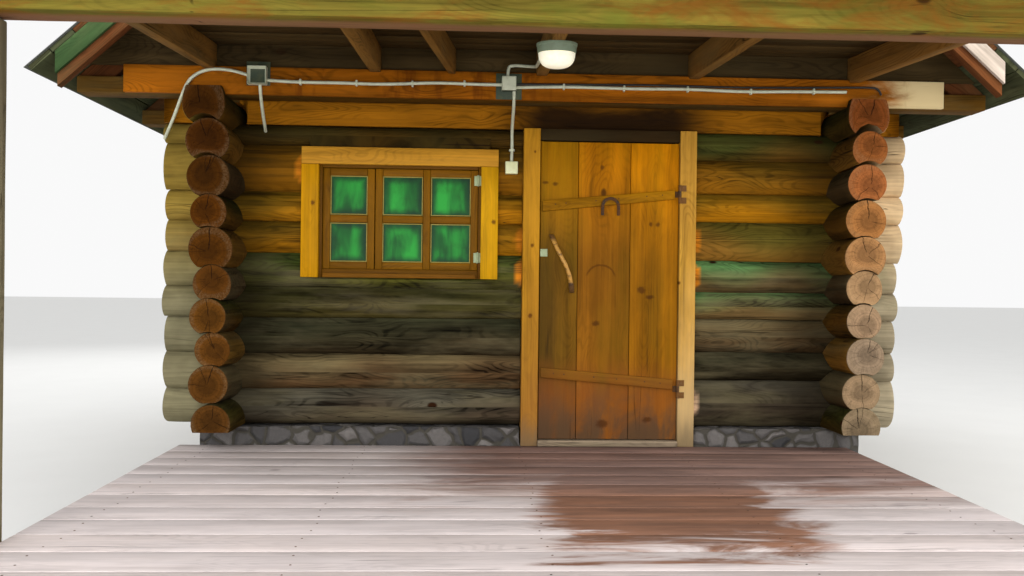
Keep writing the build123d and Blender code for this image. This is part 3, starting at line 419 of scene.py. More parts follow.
log_wood = wood("log wood", corner_shade_and_bleaching, contrast=1.5, weather=(96, 84, 40), weathered=0.15, fineness=52.0,
                relief=0.0025, figure=0.36)
old_log_wood = wood("weathered log wood", corner_shade_and_bleaching, contrast=2.0, weather=(134, 124, 92), weathered=0.35,
                    fineness=52.0, knots=1.2, cracks=0.8, roughness=0.85, relief=0.004, figure=0.5)
log_end = cut_end("log end")
print("finishes:", log_wood.name, old_log_wood.name, log_end.name)

# %% [markdown]
# ## Marks on the door and its frame
# Knots and stains are placed one by one, so that they sit where the photograph has them. The door's head is
# also painted golden and bright, as light falling there, and the door is dark where hands reach it and worn at its
# foot.

# %% Door and frame finishes
LEAF_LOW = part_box("door_planks")[0]
DOOR_MARKS = ((0.366, 1.587, 0.013, 0.017), (0.043, 1.497, 0.020, 0.009), (0.099, 1.490, 0.017, 0.012),
              (0.650, 1.268, 0.012, 0.016), (0.690, 1.268, 0.012, 0.014), (0.600, 0.893, 0.024, 0.022),
              (0.650, 0.852, 0.026, 0.012), (0.341, 0.699, 0.024, 0.016), (0.382, 0.129, 0.036, 0.026),
              (0.638, 0.153, 0.028, 0.018))
FRAME_MARKS = ((-0.028, 1.138, 0.011, 0.012), (-0.035, 0.741, 0.013, 0.014), (-0.018, 1.669, 0.007, 0.009),
               (0.815, 0.936, 0.008, 0.010), (-1.267, 1.364, 0.013, 0.016), (-0.248, 1.269, 0.012, 0.015))


def knots_at(tree, spot, rough, places):
    """Small dark spots at (x, height over the deck, half width, half height)."""
    marks = 0.0
    for x, rise, wide, high in places:
        near = stretched(tree, spot, (1 / wide, 0.0, 1 / high), (-x / wide, 0.0, -(DECK_Z + rise) / high))
        far = length_of(tree, near)
        marks = calc(tree, "MAXIMUM", marks, faded(tree, times_plus(tree, rough, 1.2, far), 1.9, 1.0))
    return marks


def knotted(tree, spot, colour, grain):
    """The new wood round door and window has a few dark knots."""
    rough = speckle(tree, spot, 60.0, 3.0, 0.6)
    return tinted(tree, colour, knots_at(tree, spot, rough, FRAME_MARKS), 0.8, (82, 38, 12))


def door_marks(tree, spot, height):
    """Knots and small stains of the door, and a faint dark arch."""
    rough = speckle(tree, spot, 60.0, 3.0, 0.6)
    marks = knots_at(tree, spot, rough, DOOR_MARKS)
    from_arch = stretched(tree, spot, (1.0, 0.0, 1.0), (-0.366, 0.0, -(DECK_Z + 0.948)))
    off_ring = apart(tree, length_of(tree, from_arch), 0.084)
    ring = faded(tree, times_plus(tree, rough, 0.012, off_ring), 0.016, 0.006)
    arch = times(tree, ring, faded(tree, height, DECK_Z + 0.962, DECK_Z + 0.988))
    return calc(tree, "MAXIMUM", marks, times(tree, arch, 0.8))


def painted_light_and_marks(tree, spot, colour, grain):
    """The door's head is painted brighter and golden, as light falling there; it is dull where hands and rain have
    darkened it.
    """
    across, _, height = coordinates(tree, spot)
    smoke = speckle(tree, stretched(tree, spot, (5.0, 1.0, 2.2)), 1.0, 5.0, 0.65, 0.6)
    # painted light: the door's head is made brighter and golden
    lit_head_colour = scaled(tree, mixed(tree, 1.0, colour, paint(255, 246, 120), "MULTIPLY"), 1.9)
    colour = mixed(tree, faded(tree, height, DECK_Z + 1.0, DECK_Z + 1.62), colour, lit_head_colour)
    by_edge = faded(tree, times_plus(tree, smoke, 0.25, across), LEAF_LOW.x + 0.36, LEAF_LOW.x + 0.12)
    hand = times(tree, by_edge, faded(tree, height, DECK_Z + 1.35, DECK_Z + 0.95))
    colour = tinted(tree, colour, hand, 0.55, (58, 46, 18))
    foot = faded(tree, times_plus(tree, smoke, 0.35, height), DECK_Z + 0.72, DECK_Z + 0.42)
    colour = tinted(tree, colour, foot, 0.6, (136, 74, 30))
    stain = times(tree, faded(tree, height, DECK_Z + 0.46, DECK_Z + 0.06), faded(tree, smoke, 0.34, 0.58))
    colour = tinted(tree, colour, stain, 0.8, (74, 62, 48))
    return tinted(tree, colour, door_marks(tree, spot, height), 0.7, (66, 34, 10))


def footworn(tree, spot, colour, grain):
    """The posts go grey towards the deck."""
    place = coordinates(tree, spot)
    soft = speckle(tree, stretched(tree, spot, (8.0, 8.0, 2.0)), 1.0, 5.0, 0.6)
    low = faded(tree, times_plus(tree, soft, 0.8, place[2]), DECK_Z + 1.5, DECK_Z + 0.4)
    dull = mixed(tree, faded(tree, place[0], 0.3, 0.7), paint(150, 100, 46), paint(196, 170, 126))
    colour = mixed(tree, times(tree, low, 0.7), colour, dull)
    splashed = faded(tree, times_plus(tree, soft, 0.3, place[2]), DECK_Z + 0.36, DECK_Z + 0.14)
    colour = tinted(tree, colour, splashed, 0.75, (112, 98, 76))
    return knotted(tree, spot, colour, grain)


post_wood = wood("door post", footworn, contrast=0.9, weather=(150, 96, 30), weathered=0.25, fineness=75.0,
                 knots=0.9, cracks=0.3, roughness=0.6, relief=0.0008, figure=0.25)
casing_wood = wood("window casing", knotted, contrast=0.75, weather=(150, 96, 30), weathered=0.2, fineness=75.0,
                   knots=0.7, cracks=0.25, roughness=0.55, coat=0.02, relief=0.0006, figure=0.2)
door_wood = wood("door plank", painted_light_and_marks, contrast=0.95, weather=(112, 84, 14), fineness=85.0, knots=0.9, cracks=0.5,
                 roughness=0.6, relief=0.0008, figure=0.16)
print("finishes with marks:", post_wood.name, casing_wood.name, door_wood.name)

# %% [markdown]
# ## Helpers for pieces
# Each piece starts as a small bmesh: a copy of a CAD solid, a slice of one, or a new bar.

# %% Solids, bars and slices
X, Y, Z = Vector((1, 0, 0)), Vector((0, 1, 0)), Vector((0, 0, 1))
UNTINTED = (1, 1, 1)


def separate_solids(node):
    """Each solid of a CAD node as its own bmesh, merged, with its flat faces joined."""
    whole = bmesh.new()
    whole.from_mesh(cad_nodes[node].data)
    bmesh.ops.remove_doubles(whole, verts=whole.verts, dist=1e-5)
    bmesh.ops.dissolve_limit(whole, angle_limit=0.02, verts=whole.verts, edges=whole.edges)
    whole.verts.ensure_lookup_table()
    solids, seen = [], set()
    for start in whole.verts:
        if start.index in seen:
            continue
        island, queue = {start.index}, [start]
        while queue:
            for edge in queue.pop().link_edges:
                for vert in edge.verts:
                    if vert.index not in island:
                        island.add(vert.index)
                        queue.append(vert)
        seen |= island
        solid = whole.copy()
        others = [v for v in solid.verts if v.index not in island]
        bmesh.ops.delete(solid, geom=others, context="VERTS")
        solids.append(solid)
    whole.free()
    return solids


def new_bar(low, high):
    """Box between two corners."""
    bar = bmesh.new()
    bmesh.ops.create_cube(bar, size=1.0)
    low, high = Vector(low), Vector(high)
    bmesh.ops.scale(bar, vec=high - low, verts=bar.verts)
    bmesh.ops.translate(bar, vec=(low + high) / 2, verts=bar.verts)
    return bar


def everything(bm):
    """All corners, edges and faces, for the cutting operations."""
    return bm.verts[:] + bm.edges[:] + bm.faces[:]


def kept_between(solid, direction, low, high):
    """Slice of a solid between two distances along a direction, closed again."""
    piece = solid.copy()
    for sign, at in ((1, high), (-1, low)):
        bmesh.ops.bisect_plane(piece, geom=everything(piece), plane_co=direction * at,
                               plane_no=direction * sign, clear_outer=True)
        bmesh.ops.holes_fill(piece, edges=[e for e in piece.edges if e.is_boundary], sides=0)
    return piece


def cut_into_boards(solid, direction, width, gap, seed, spread=0.0):
    """Boards side by side along a direction, with a gap between them."""
    direction = Vector(direction).normalized()
    reach = [v.co.dot(direction) for v in solid.verts]
    low, high = min(reach), max(reach)
    count = max(1, round((high - low) / width))
    shuffle = random.Random(seed)
    shares = [1 + spread * (shuffle.random() - 0.5) for _ in range(count)]
    boards, at = [], low
    for share in shares:
        step = (high - low) * share / sum(shares)
        boards.append(kept_between(solid, direction, at + gap / 2, at + step - gap / 2))
        at += step
    return boards


def longest_axis(bm):
    """Direction of the longest edge."""
    edge = max(bm.edges, key=lambda e: e.calc_length())
    return (edge.verts[1].co - edge.verts[0].co).normalized()


print("axes:", X, Y, Z)

# %% [markdown]
# ## From a bmesh to a piece
# "dress" rounds the edges, cuts the piece into short lengths, lets its faces wander inwards by a millimetre
# or two, as hand work does, and writes the grain map and the tone. "keep_piece" turns the bmeshes into one
# object that rides on its body and stands for its CAD node.

# %% Dressing a piece
def write_map(bm, axis, tone, seed, pith=None):
    """Grain map, tone and seed; end faces get the second material and metres from the pith."""
    uv = bm.loops.layers.uv.get("grain") or bm.loops.layers.uv.new("grain")
    colour = bm.verts.layers.float_color.get("tone") or bm.verts.layers.float_color.new("tone")
    middle = sum((v.co for v in bm.verts), Vector()) / len(bm.verts)
    side = axis.orthogonal().normalized()
    other = axis.cross(side)
    pith = pith or (seed * 0.37 % 0.1 - 0.05, -seed * 0.23 % 0.08)
    for vert in bm.verts:
        vert[colour] = (*tone, seed)
    for face in bm.faces:
        is_end = abs(face.normal.dot(axis)) > 0.8
        face.material_index = 1 if is_end else 0
        across = axis.cross(face.normal).normalized() if not is_end else side
        for loop in face.loops:
            place = loop.vert.co - middle
            if is_end:
                loop[uv].uv = (place.dot(side) - pith[0], place.dot(other) - pith[1])
            else:
                loop[uv].uv = (place.dot(axis) + seed * 3.1, place.dot(across) + seed * 1.7)


def dress(bm, tone, seed, axis=None, bevel=0.004, wander=0.0015, step=0.25, segments=2, pith=None):
    """Rounded edges, short lengths, slightly uneven faces, and the grain map."""
    axis = axis or longest_axis(bm)
    bm.normal_update()
    edges = [e for e in bm.edges if len(e.link_faces) == 2 and e.calc_face_angle(0) > 0.35]
    if bevel:
        bmesh.ops.bevel(bm, geom=edges, offset=bevel, offset_type="OFFSET", segments=segments, profile=0.5,
                        affect="EDGES", material=-1, clamp_overlap=True)
    reach = [v.co.dot(axis) for v in bm.verts]
    count = int((max(reach) - min(reach)) / step)
    for i in range(1, count + 1):
        at = min(reach) + (max(reach) - min(reach)) * i / (count + 1)
        bmesh.ops.bisect_plane(bm, geom=everything(bm), plane_co=axis * at, plane_no=axis)
    bm.normal_update()
    if wander:
        for vert in bm.verts:
            spot = vert.co * 3.1 + Vector((seed * 9, seed * 5, seed * 3))
            lump = 0.65 * (0.5 + 0.5 * noise.noise(spot)) + 0.35 * (0.5 + 0.5 * noise.noise(spot * 6))
            vert.co -= vert.normal * wander * lump
    write_map(bm, axis, tone, seed, pith)
    return bm


def plain(bm, seed, bevel, axis=Z):
    """Rounded edges only, for metal and plastic whose material brings its own colour."""
    return dress(bm, UNTINTED, seed, axis, bevel, 0.0, 1.0)


print("helpers:", ", ".join(helper.__name__ for helper in (write_map, dress, plain)))

# %% Keeping a piece
def keep_piece(name, bmeshes, materials, body, nodes=(), slot=None, angle=35):
    """One object from several bmeshes, riding on its body and standing for its nodes."""
    joined = bmesh.new()
    mesh = bpy.data.meshes.new(name)
    for bm in bmeshes:
        bm.to_mesh(mesh)
        joined.from_mesh(mesh)
        bm.free()
    joined.to_mesh(mesh)
    joined.free()
    for material in materials:
        mesh.materials.append(material)
    mesh.shade_smooth()
    mesh.set_sharp_from_angle(angle=math.radians(angle))
    piece = bpy.data.objects.new(name, mesh)
    bpy.context.scene.collection.objects.link(piece)
    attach(piece, body)
    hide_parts(*nodes)
    print(f"{name}: {len(mesh.polygons)} faces")
    return piece


def tones(colour, spread, seed):
    """Endless tones near one colour, lighter or darker, each with its seed."""
    shuffle = random.Random(seed)
    base = paint(*colour)[:3]
    while True:
        light = 1 + spread * (shuffle.random() - 0.5) * 2
        warm = 1 + spread * 0.3 * (shuffle.random() - 0.5)
        yield (base[0] * light * warm, base[1] * light, base[2] * light / warm), shuffle.random()


def timber(name, colour, materials, slot, spread=0.15, body="cabin", seed=1, **shape):
    """Dressed copy of every solid of one CAD node."""
    pieces = []
    for solid, (tone, number) in zip(separate_solids(name), tones(colour, spread, seed)):
        pieces.append(dress(solid, tone, number, **shape))
    return keep_piece(name + "_wood", pieces, materials, body, [name], slot)

# %% [markdown]
# ## Round logs
# A log is a cylinder cut into short lengths. Its outline wanders, it is a little thicker at one end, and
# its end is rounded where the saw or axe left a burr. Beside the door and the window the builders hewed the
# logs flat for the casings, so points that would stand out there are pressed back to the flat.
# Each log is scribed over the one below, so points inside the lower log are pushed out to its surface. Where
# logs cross they simply meet, because a notch fits so closely that only the line shows.

# %% Openings and hewn flats
COURSE = 0.187
DOORWAY = (-0.082, 0.908)                       # outer edges of the door's posts
WINDOW_X = (-1.333, -0.223)                     # outer edges of the casing
WINDOW_Z = (DECK_Z + 0.943, DECK_Z + 1.680)
HOLE_X = (-1.270, -0.286)                       # the opening that the window's frame fills
HOLE_TOP = DECK_Z + 1.617
HEWN_DEPTH = 0.092                              # from the logs' axis to the hewn flats


def hewn_limit(x, z):
    """How far a front log may stand out from its axis at a place, in front of the hewn flats."""
    reach = 1.0
    for (low, high), (bottom, top) in ((DOORWAY, (DECK_Z, DECK_Z + 1.80)), (WINDOW_X, WINDOW_Z)):
        if bottom - 0.01 < z < top + 0.01:
            outside = max(low - x, x - high, 0.0)
            reach = min(reach, HEWN_DEPTH + 0.2 * outside)
    return reach


print("logs stand out", hewn_limit(0.4, DECK_Z + 1.0), "m at the door, hewn flat")

# %% Log maker
LUMPS = 0.004
LOG_SIDES = 30


def make_log(start, end, colours, seed, front=False, end_radius=LOG_RADIUS, lift=0.0, seat=None, end_tone=None,
             tall=1.0, old=False, fresh=()):
    """Log between two points on its axis.

    The colours are those of its upper and its lower side. Its first end may be thicker and lie a little
    higher, and tall is its height against its width. A seat (radius, height of axis, lift, gap, tall) is the
    log below, over which this one is scribed. Where fresh names a casing's edge, the axe left bright wood.
    """
    axis = (end - start).normalized()
    length = (end - start).length
    log = bmesh.new()
    bmesh.ops.create_cone(log, cap_ends=True, segments=LOG_SIDES, radius1=LOG_RADIUS, radius2=LOG_RADIUS,
                          depth=length)
    rims = [e for e in log.edges if abs(abs(e.verts[0].co.z) - length / 2) < 1e-6
            and abs(e.verts[0].co.z - e.verts[1].co.z) < 1e-6]
    bmesh.ops.bevel(log, geom=rims, offset=0.007, segments=2, profile=0.5, affect="EDGES", material=-1)
    lines = [e for e in log.edges if e.calc_length() > length / 2]
    ring_gap = 0.022 if fresh else 0.045 if front else 0.075
    bmesh.ops.subdivide_edges(log, edges=lines, cuts=max(2, int(length / ring_gap)))
    turned = Z.rotation_difference(axis).to_matrix().to_4x4()
    bmesh.ops.transform(log, matrix=Matrix.Translation((start + end) / 2) @ turned, verts=log.verts)
    uv = log.loops.layers.uv.new("grain")
    colour = log.verts.layers.float_color.new("tone")
    side = Z.cross(axis)
    middle = (start + end) / 2
    bare = paint(*((190, 158, 128) if middle.z < DECK_Z + 0.3 else (186, 114, 24)))[:3]
    caps = set()
    for face in log.faces:
        is_end = abs(face.normal.dot(axis)) > 0.9
        face.material_index = 1 if is_end else 2 * old
        centre = face.calc_center_median() - middle
        base = math.atan2(centre.z, centre.dot(side))
        for loop in face.loops:
            place = loop.vert.co - middle
            if is_end:
                caps.add(loop.vert)
                loop[uv].uv = (place.dot(side) + 0.02 * math.sin(seed * 40), place.z + 0.02 * math.cos(seed * 23))
            else:
                swing = math.atan2(place.z, place.dot(side)) - base
                swing = (swing + math.pi) % (2 * math.pi) - math.pi
                loop[uv].uv = (place.dot(axis) + seed * 5.3, (base + swing) * LOG_RADIUS)
    ratio = end_radius / LOG_RADIUS
    upper, lower = colours
    for vert in log.verts:
        place = vert.co - middle
        run = place.dot(axis)
        outward = place - axis * run
        share = run / length + 0.5
        near = max(0.0, 1 - share * length / 0.9)
        size = 1 + (ratio - 1) * near if ratio != 1 else 1 + 0.03 * (share - 0.5)
        spot = vert.co * 2.3 + Vector((seed * 31, seed * 17, seed * 7))
        rough = noise.noise(spot)
        lump = LUMPS * (rough + 0.45 * noise.noise(spot * 3.7))
        bow = 0.005 * math.sin(run * 1.3 + seed * 20)
        turn = outward.normalized().z
        vert.co += outward * (size - 1) + outward.normalized() * lump * 1.6 + side * bow + Z * lift * near
        if abs(share - 0.5) > 0.49:
            vert.co += axis * 0.008 * noise.noise(spot * 2.1)
        vert.co.z = middle.z + (vert.co.z - middle.z) * tall
        if seat:
            wide, rest, raised, gap, plump = seat
            rest += raised * near
            off = Vector(((vert.co - middle).dot(side), (vert.co.z - rest) / plump, 0))
            hollow = LOG_RADIUS + (wide - LOG_RADIUS) * near + 0.001 + gap * near * (off.y / off.length) ** 4
            if off.length < hollow:
                vert.co += side * off.x * (hollow / off.length - 1)
                vert.co.z = rest + off.y * plump * hollow / off.length
        if front:
            vert.co.y = max(vert.co.y, FRONT_Y - hewn_limit(vert.co.x, vert.co.z))
        hewn = 0
        for edge in fresh:
            from_edge, rise = (vert.co.x - edge) / 0.048, (vert.co.z - middle.z) / 0.078
            if outward.y < 0:
                hewn = max(hewn, min(1, 4 * max(0, 1 - from_edge ** 2 - rise ** 2)))
        share = min(1.0, max(0.0, 0.5 + 0.75 * turn + 0.9 * rough))
        tone = [low + (high - low) * share for high, low in zip(upper, lower)]
        tone = [old_part + (new_part - old_part) * hewn for old_part, new_part in zip(tone, bare)]
        vert[colour] = (*(end_tone if end_tone and vert in caps else tone), seed)
    return log


print("a log has", LOG_SIDES, "sides, and lumps of", 1000 * LUMPS, "mm")

# %% Log tones
LOG_TONES = {   # the upper and the lower side of a log
    "soot": ((56, 46, 18), (74, 52, 15)), "ochre": ((92, 67, 16), (124, 80, 12)),
    "amber": ((118, 88, 18), (152, 100, 12)), "moss": ((62, 74, 28), (70, 68, 24)),
    "bog": ((62, 60, 30), (66, 58, 26)), "umber": ((86, 76, 26), (124, 86, 30)),
    "olive": ((60, 62, 24), (104, 70, 22)), "teal": ((71, 104, 60), (94, 75, 44)),
    "drift": ((92, 80, 54), (78, 58, 36)), "slate": ((54, 54, 36), (48, 39, 24)),
    "silver": ((74, 70, 58), (62, 52, 40)), "ash": ((60, 56, 46), (50, 42, 32)),
    "coal": ((39, 38, 25), (34, 28, 16)), "dusk": ((82, 70, 46), (68, 51, 31)),
    "straw": ((128, 96, 40), (150, 104, 40)),
}


def log_tone(word):
    """Both tones of a log, as linear colours."""
    return [paint(*colour)[:3] for colour in LOG_TONES[word]]


print("tones for logs:", ", ".join(LOG_TONES))

# %% [markdown]
# ## The front wall
# From the bottom up, each course has its own colour: grey and mossy where rain splashes, ochre under the
# window's shelter, dark below the roof. Those are read from the photograph, one word per log.

# %% Front wall logs
FIRST_AXIS = 0.213        # height of the first front log's axis over the deck
FRONT_REACH = 2.110       # from the middle to the logs' ends; the upper ones on the right reach further
UPPER_REACH = 2.145
COURSE_TONES = {
    "left": ["silver", "drift", "slate", "bog", "moss", "amber", "amber", "ochre", "soot"],
    "right": ["ash", "coal", "dusk", "teal", "teal", "umber", "amber", "ochre", "olive"]}
SEAM_SHIFTS = {
    "left": [0, 0, 0.012, 0.031, 0.014, 0.026, 0.015, -0.003, 0.074, 0],
    "right": [0, 0.064, 0.040, 0.042, 0.015, 0.007, 0.048, 0.022, 0.033, 0]}
LEFT_POST, RIGHT_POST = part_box("door_post_left")[0].x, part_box("door_post_right")[1].x
FRESHLY_HEWN = {("left", 8): [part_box("window_casing")[0].x], ("left", 6): [LEFT_POST], ("left", 5): [LEFT_POST],
                ("right", 6): [RIGHT_POST], ("right", 5): [RIGHT_POST], ("right", 1): [RIGHT_POST]}


def front_log_z(course):
    """Height of a front log's axis where the courses are even."""
    return DECK_Z + FIRST_AXIS + (course - 1) * COURSE


def log_band(side, course):
    """Height of a front log's axis, and its height against its width, between its uneven seams."""
    below, above = SEAM_SHIFTS[side][course - 1:course + 1]
    return front_log_z(course) + (below + above) / 2, 1 + (above - below) / COURSE


def pressed_to_hole(log, course):
    """Logs above and below the window end at the edges of its opening."""
    if course in (5, 9):
        for at in HOLE_X:
            bmesh.ops.bisect_plane(log, geom=everything(log), plane_co=(at, 0, 0), plane_no=(1, 0, 0))
        for vert in log.verts:
            if HOLE_X[0] - 1e-4 < vert.co.x < HOLE_X[1] + 1e-4:
                if course == 5:
                    vert.co.z = min(vert.co.z, WINDOW_Z[0])
                elif vert.co.z < front_log_z(9) + 0.03:
                    vert.co.z = HOLE_TOP


def front_half(side, parity):
    """Logs of one half of the front wall, odd or even courses."""
    logs = []
    for course in range(2 - parity, 10, 2):
        colours = log_tone(COURSE_TONES[side][course - 1])
        seed = (0.137 * course + (0.05 if side == "left" else 0.61)) % 1
        overhang = 0.014 * math.sin(course * 2.4)
        if side == "right":
            runs = [(DOORWAY[1], (FRONT_REACH if course < 6 else UPPER_REACH) - abs(overhang))]
        elif course in (6, 7, 8):
            runs = [(-FRONT_REACH + abs(overhang), HOLE_X[0]), (HOLE_X[1], DOORWAY[0])]
        else:
            runs = [(-FRONT_REACH + abs(overhang), DOORWAY[0])]
        z, tall = log_band(side, course)
        seat = None
        if course > 1:
            lower_z, lower_tall = log_band(side, course - 1)
            seat = (LOG_RADIUS, lower_z, 0, 0, lower_tall)
        for low, high in runs:
            log = make_log(Vector((low, FRONT_Y, z)), Vector((high, FRONT_Y, z)), colours, seed, True, seat=seat,
                           tall=tall, old=course < 6, fresh=FRESHLY_HEWN.get((side, course), ()))
            pressed_to_hole(log, course)
            logs.append(log)
    return logs


def keep_logs(node, logs):
    """The logs of one CAD node, as one piece."""
    return keep_piece(node + "_wood", logs, [log_wood, log_end, old_log_wood], "cabin", [node], "wall_log", 50)


PARITIES = ((1, "odd"), (0, "even"))
for side in ("left", "right"):
    for parity, word in PARITIES:
        keep_logs(f"front_logs_{side}_{word}", front_half(side, parity))

# %% [markdown]
# ## Rear and side walls
# The rear wall repeats the front's courses unbroken. The side logs start with a half log on the stones,
# and their ends face the porch, so each gets the thickness that the photograph shows at that height.

# %% Rear and side logs
DEPTH = 3.400             # between the front and the rear wall's axes
WALL_X = 1.760            # from the middle to a side wall's axis
FIRST_SIDE_AXIS = 0.151   # the side logs lie about half a course off the front ones
REAR_REACH = 2.105
SIDE_REACH_FRONT, SIDE_REACH_REAR = 0.400, 0.395
FOOT_CUT = 0.106          # the first side log is hewn flat on the stones
TIE_CUT = 1.920           # and the last one below the tie beams
END_RADII = {"left": [0.108, 0.106, 0.096, 0.100, 0.103, 0.119, 0.100, 0.117, 0.119, 0.117],
             "right": [0.108, 0.108, 0.108, 0.102, 0.104, 0.118, 0.117, 0.111, 0.105, 0.116]}
END_LIFTS = {"left": [0, 0.02, 0.02, 0.01, 0, 0, 0.006, 0.012, 0.02, 0.02],
             "right": [0, 0, 0.01, 0.02, 0.015, 0, 0.015, 0.034, 0.036, 0.024]}
END_SHIFTS = {"left": [0, 0, 0, 0, 0, 0, -0.010, -0.020, -0.026, -0.050],
              "right": [0.020, 0.028, 0.030, 0.034, 0.034, 0.026, 0.034, 0.045, 0.050, 0.044]}
END_GAPS = {"left": {9: 0.022, 8: 0.012}, "right": {9: 0.034, 8: 0.014, 7: 0.010}}
END_TONES = {
    "left": [(78, 48, 16), (82, 50, 16), (86, 52, 16), (88, 54, 16), (82, 48, 13), (76, 43, 8), (76, 41, 6),
             (64, 35, 5), (66, 35, 6), (66, 36, 6)],
    "right": [(124, 106, 82), (140, 116, 88), (134, 114, 92), (148, 121, 93), (156, 123, 87), (155, 112, 70),
              (150, 100, 54), (148, 88, 46), (134, 78, 36), (112, 60, 24)]}


def cut_flat(log, at, keep):
    """Hews a log flat at a height, keeping what lies above or below."""
    sign = -1 if keep == "above" else 1
    bmesh.ops.bisect_plane(log, geom=everything(log), plane_co=(0, 0, at), plane_no=(0, 0, sign), clear_outer=True)
    bmesh.ops.holes_fill(log, edges=[e for e in log.edges if e.is_boundary], sides=0)


def raised_nose(log):
    """In front of the long board the top log's end stands a little higher."""
    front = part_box("face_board")[0].y
    for at in (front - 0.002, front - 0.006):
        bmesh.ops.bisect_plane(log, geom=everything(log), plane_co=(0, at, 0), plane_no=(0, 1, 0))
    for vert in log.verts:
        above = vert.co.z - DECK_Z - 1.86
        if vert.co.y < front - 0.004 and above > 0:
            vert.co.z += 0.6 * above


def rear_log(course):
    """One unbroken log of the rear wall."""
    z = front_log_z(course)
    y = FRONT_Y + DEPTH
    colours = log_tone(("straw", "drift", "olive")[course % 3])
    seat = (LOG_RADIUS, z - COURSE, 0, 0, 1) if course > 1 else None
    return make_log(Vector((-REAR_REACH, y, z)), Vector((REAR_REACH, y, z)), colours, 0.091 * course % 1,
                    seat=seat, old=course < 5)


def side_log(side, sign, course):
    """One log of a side wall; its first end is the one in the porch."""
    radii, lifts = END_RADII[side], END_LIFTS[side]
    z = DECK_Z + FIRST_SIDE_AXIS + course * COURSE
    short = 0.012 * (1 + math.sin(course * 1.9 + sign))
    x = sign * (WALL_X + 0.006 * math.sin(course * 2.7 + sign)) + END_SHIFTS[side][course]
    start = Vector((x, FRONT_Y - SIDE_REACH_FRONT + short, z))
    end = Vector((sign * WALL_X, FRONT_Y + DEPTH + SIDE_REACH_REAR, z))
    seat = None
    if course > 0:
        seat = (radii[course - 1], z - COURSE, lifts[course - 1], END_GAPS[side].get(course, 0.002), 1)
    log = make_log(start, end, log_tone(("olive", "drift", "straw")[course % 3]),
                   (0.173 * course + 0.3 * sign) % 1, end_radius=radii[course], lift=lifts[course], seat=seat,
                   end_tone=paint(*END_TONES[side][course])[:3], old=course < 5)
    if course == 0:
        cut_flat(log, DECK_Z + FOOT_CUT, "above")
    if course == 9:
        cut_flat(log, DECK_Z + TIE_CUT, "below")
        raised_nose(log)
    return log


for parity, word in PARITIES:
    keep_logs(f"rear_logs_{word}", [rear_log(course) for course in range(2 - parity, 10, 2)])
    for side, sign in (("left", -1), ("right", 1)):
        keep_logs(f"{side}_logs_{word}", [side_log(side, sign, course) for course in range(parity, 10, 2)])

# %% [markdown]
# ## Squared timbers
# The top logs, ties, rafters, joists and posts are copies of the frame's own solids, so their notches and
# slopes are right. Dressing them rounds their edges and makes their faces a little uneven.

# %% Squared timbers
ROUGH = [timber_wood, timber_end]


def stained_board(tree, spot, colour, grain):
    """The long board on the ties is orange with old drips, and nearly white at its right end."""
    place = coordinates(tree, spot)
    soft = speckle(tree, stretched(tree, spot, (3.0, 5.0, 12.0)), 1.0, 5.0, 0.65, 0.5)
    right = faded(tree, times_plus(tree, soft, 0.5, place[0]), 2.05, 2.3)
    colour = mixed(tree, right, colour, paint(206, 184, 138))
    drips = faded(tree, speckle(tree, stretched(tree, spot, (9.0, 9.0, 2.0)), 1.0, 4.0, 0.6), 0.56, 0.74)
    return tinted(tree, colour, drips, 0.7, (86, 40, 8))


def lichened(tree, spot, colour, grain):
    """The front beam is mottled green and brown, and pinkish brown along its lower edge."""
    place = coordinates(tree, spot)
    soft = speckle(tree, stretched(tree, spot, (2.4, 6.0, 8.0)), 1.0, 6.0, 0.66, 0.8)
    colour = tinted(tree, colour, faded(tree, soft, 0.45, 0.68), 0.75, (118, 70, 22))
    green = faded(tree, speckle(tree, stretched(tree, spot, (3.0, 7.0, 9.0), (5, 1, 2)), 1.0, 5.0), 0.5, 0.72)
    colour = tinted(tree, colour, green, 0.5, (84, 98, 30))
    in_front = faded(tree, times_plus(tree, soft, 0.05, place[1]), BEAM_LOW.y + 0.06, BEAM_LOW.y + 0.12)
    low = times(tree, faded(tree, place[2], BEAM_LOW.z + 0.03, BEAM_LOW.z + 0.01), in_front)
    return tinted(tree, colour, low, 0.8, (126, 88, 66))


def smoked_over_door(tree, spot, colour, grain):
    """Smoke from the door has blackened the underside of the top log."""
    place = coordinates(tree, spot)
    soft = speckle(tree, stretched(tree, spot, (3.0, 3.0, 9.0)), 1.0, 5.0, 0.65, 0.6)
    middle = (DOORWAY[0] + DOORWAY[1]) / 2
    over = faded(tree, apart(tree, place[0], middle), 0.72, 0.36)
    low = faded(tree, times_plus(tree, soft, 0.14, place[2]), TOP_LOW.z + 0.29, TOP_LOW.z + 0.16)
    return tinted(tree, colour, times(tree, over, low), 0.95, (26, 16, 8))


TOP_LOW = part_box("front_top_log")[0]
top_wood = wood("top log wood", smoked_over_door, contrast=1.2, weather=(120, 76, 16), weathered=0.3,
                fineness=55.0, cracks=0.8, relief=0.002, figure=0.45)
BEAM_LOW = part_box("porch_front_beam")[0]
board_wood = wood("stained board", stained_board, contrast=1.2, weather=(150, 92, 24), weathered=0.3, cracks=0.6,
                  figure=0.4)
beam_wood = wood("mossy beam", lichened, contrast=1.3, weather=(98, 98, 38), weathered=0.35, fineness=80.0,
                 cracks=0.8, roughness=0.8, relief=0.002, figure=0.2)
print("finishes:", top_wood.name, board_wood.name, beam_wood.name)

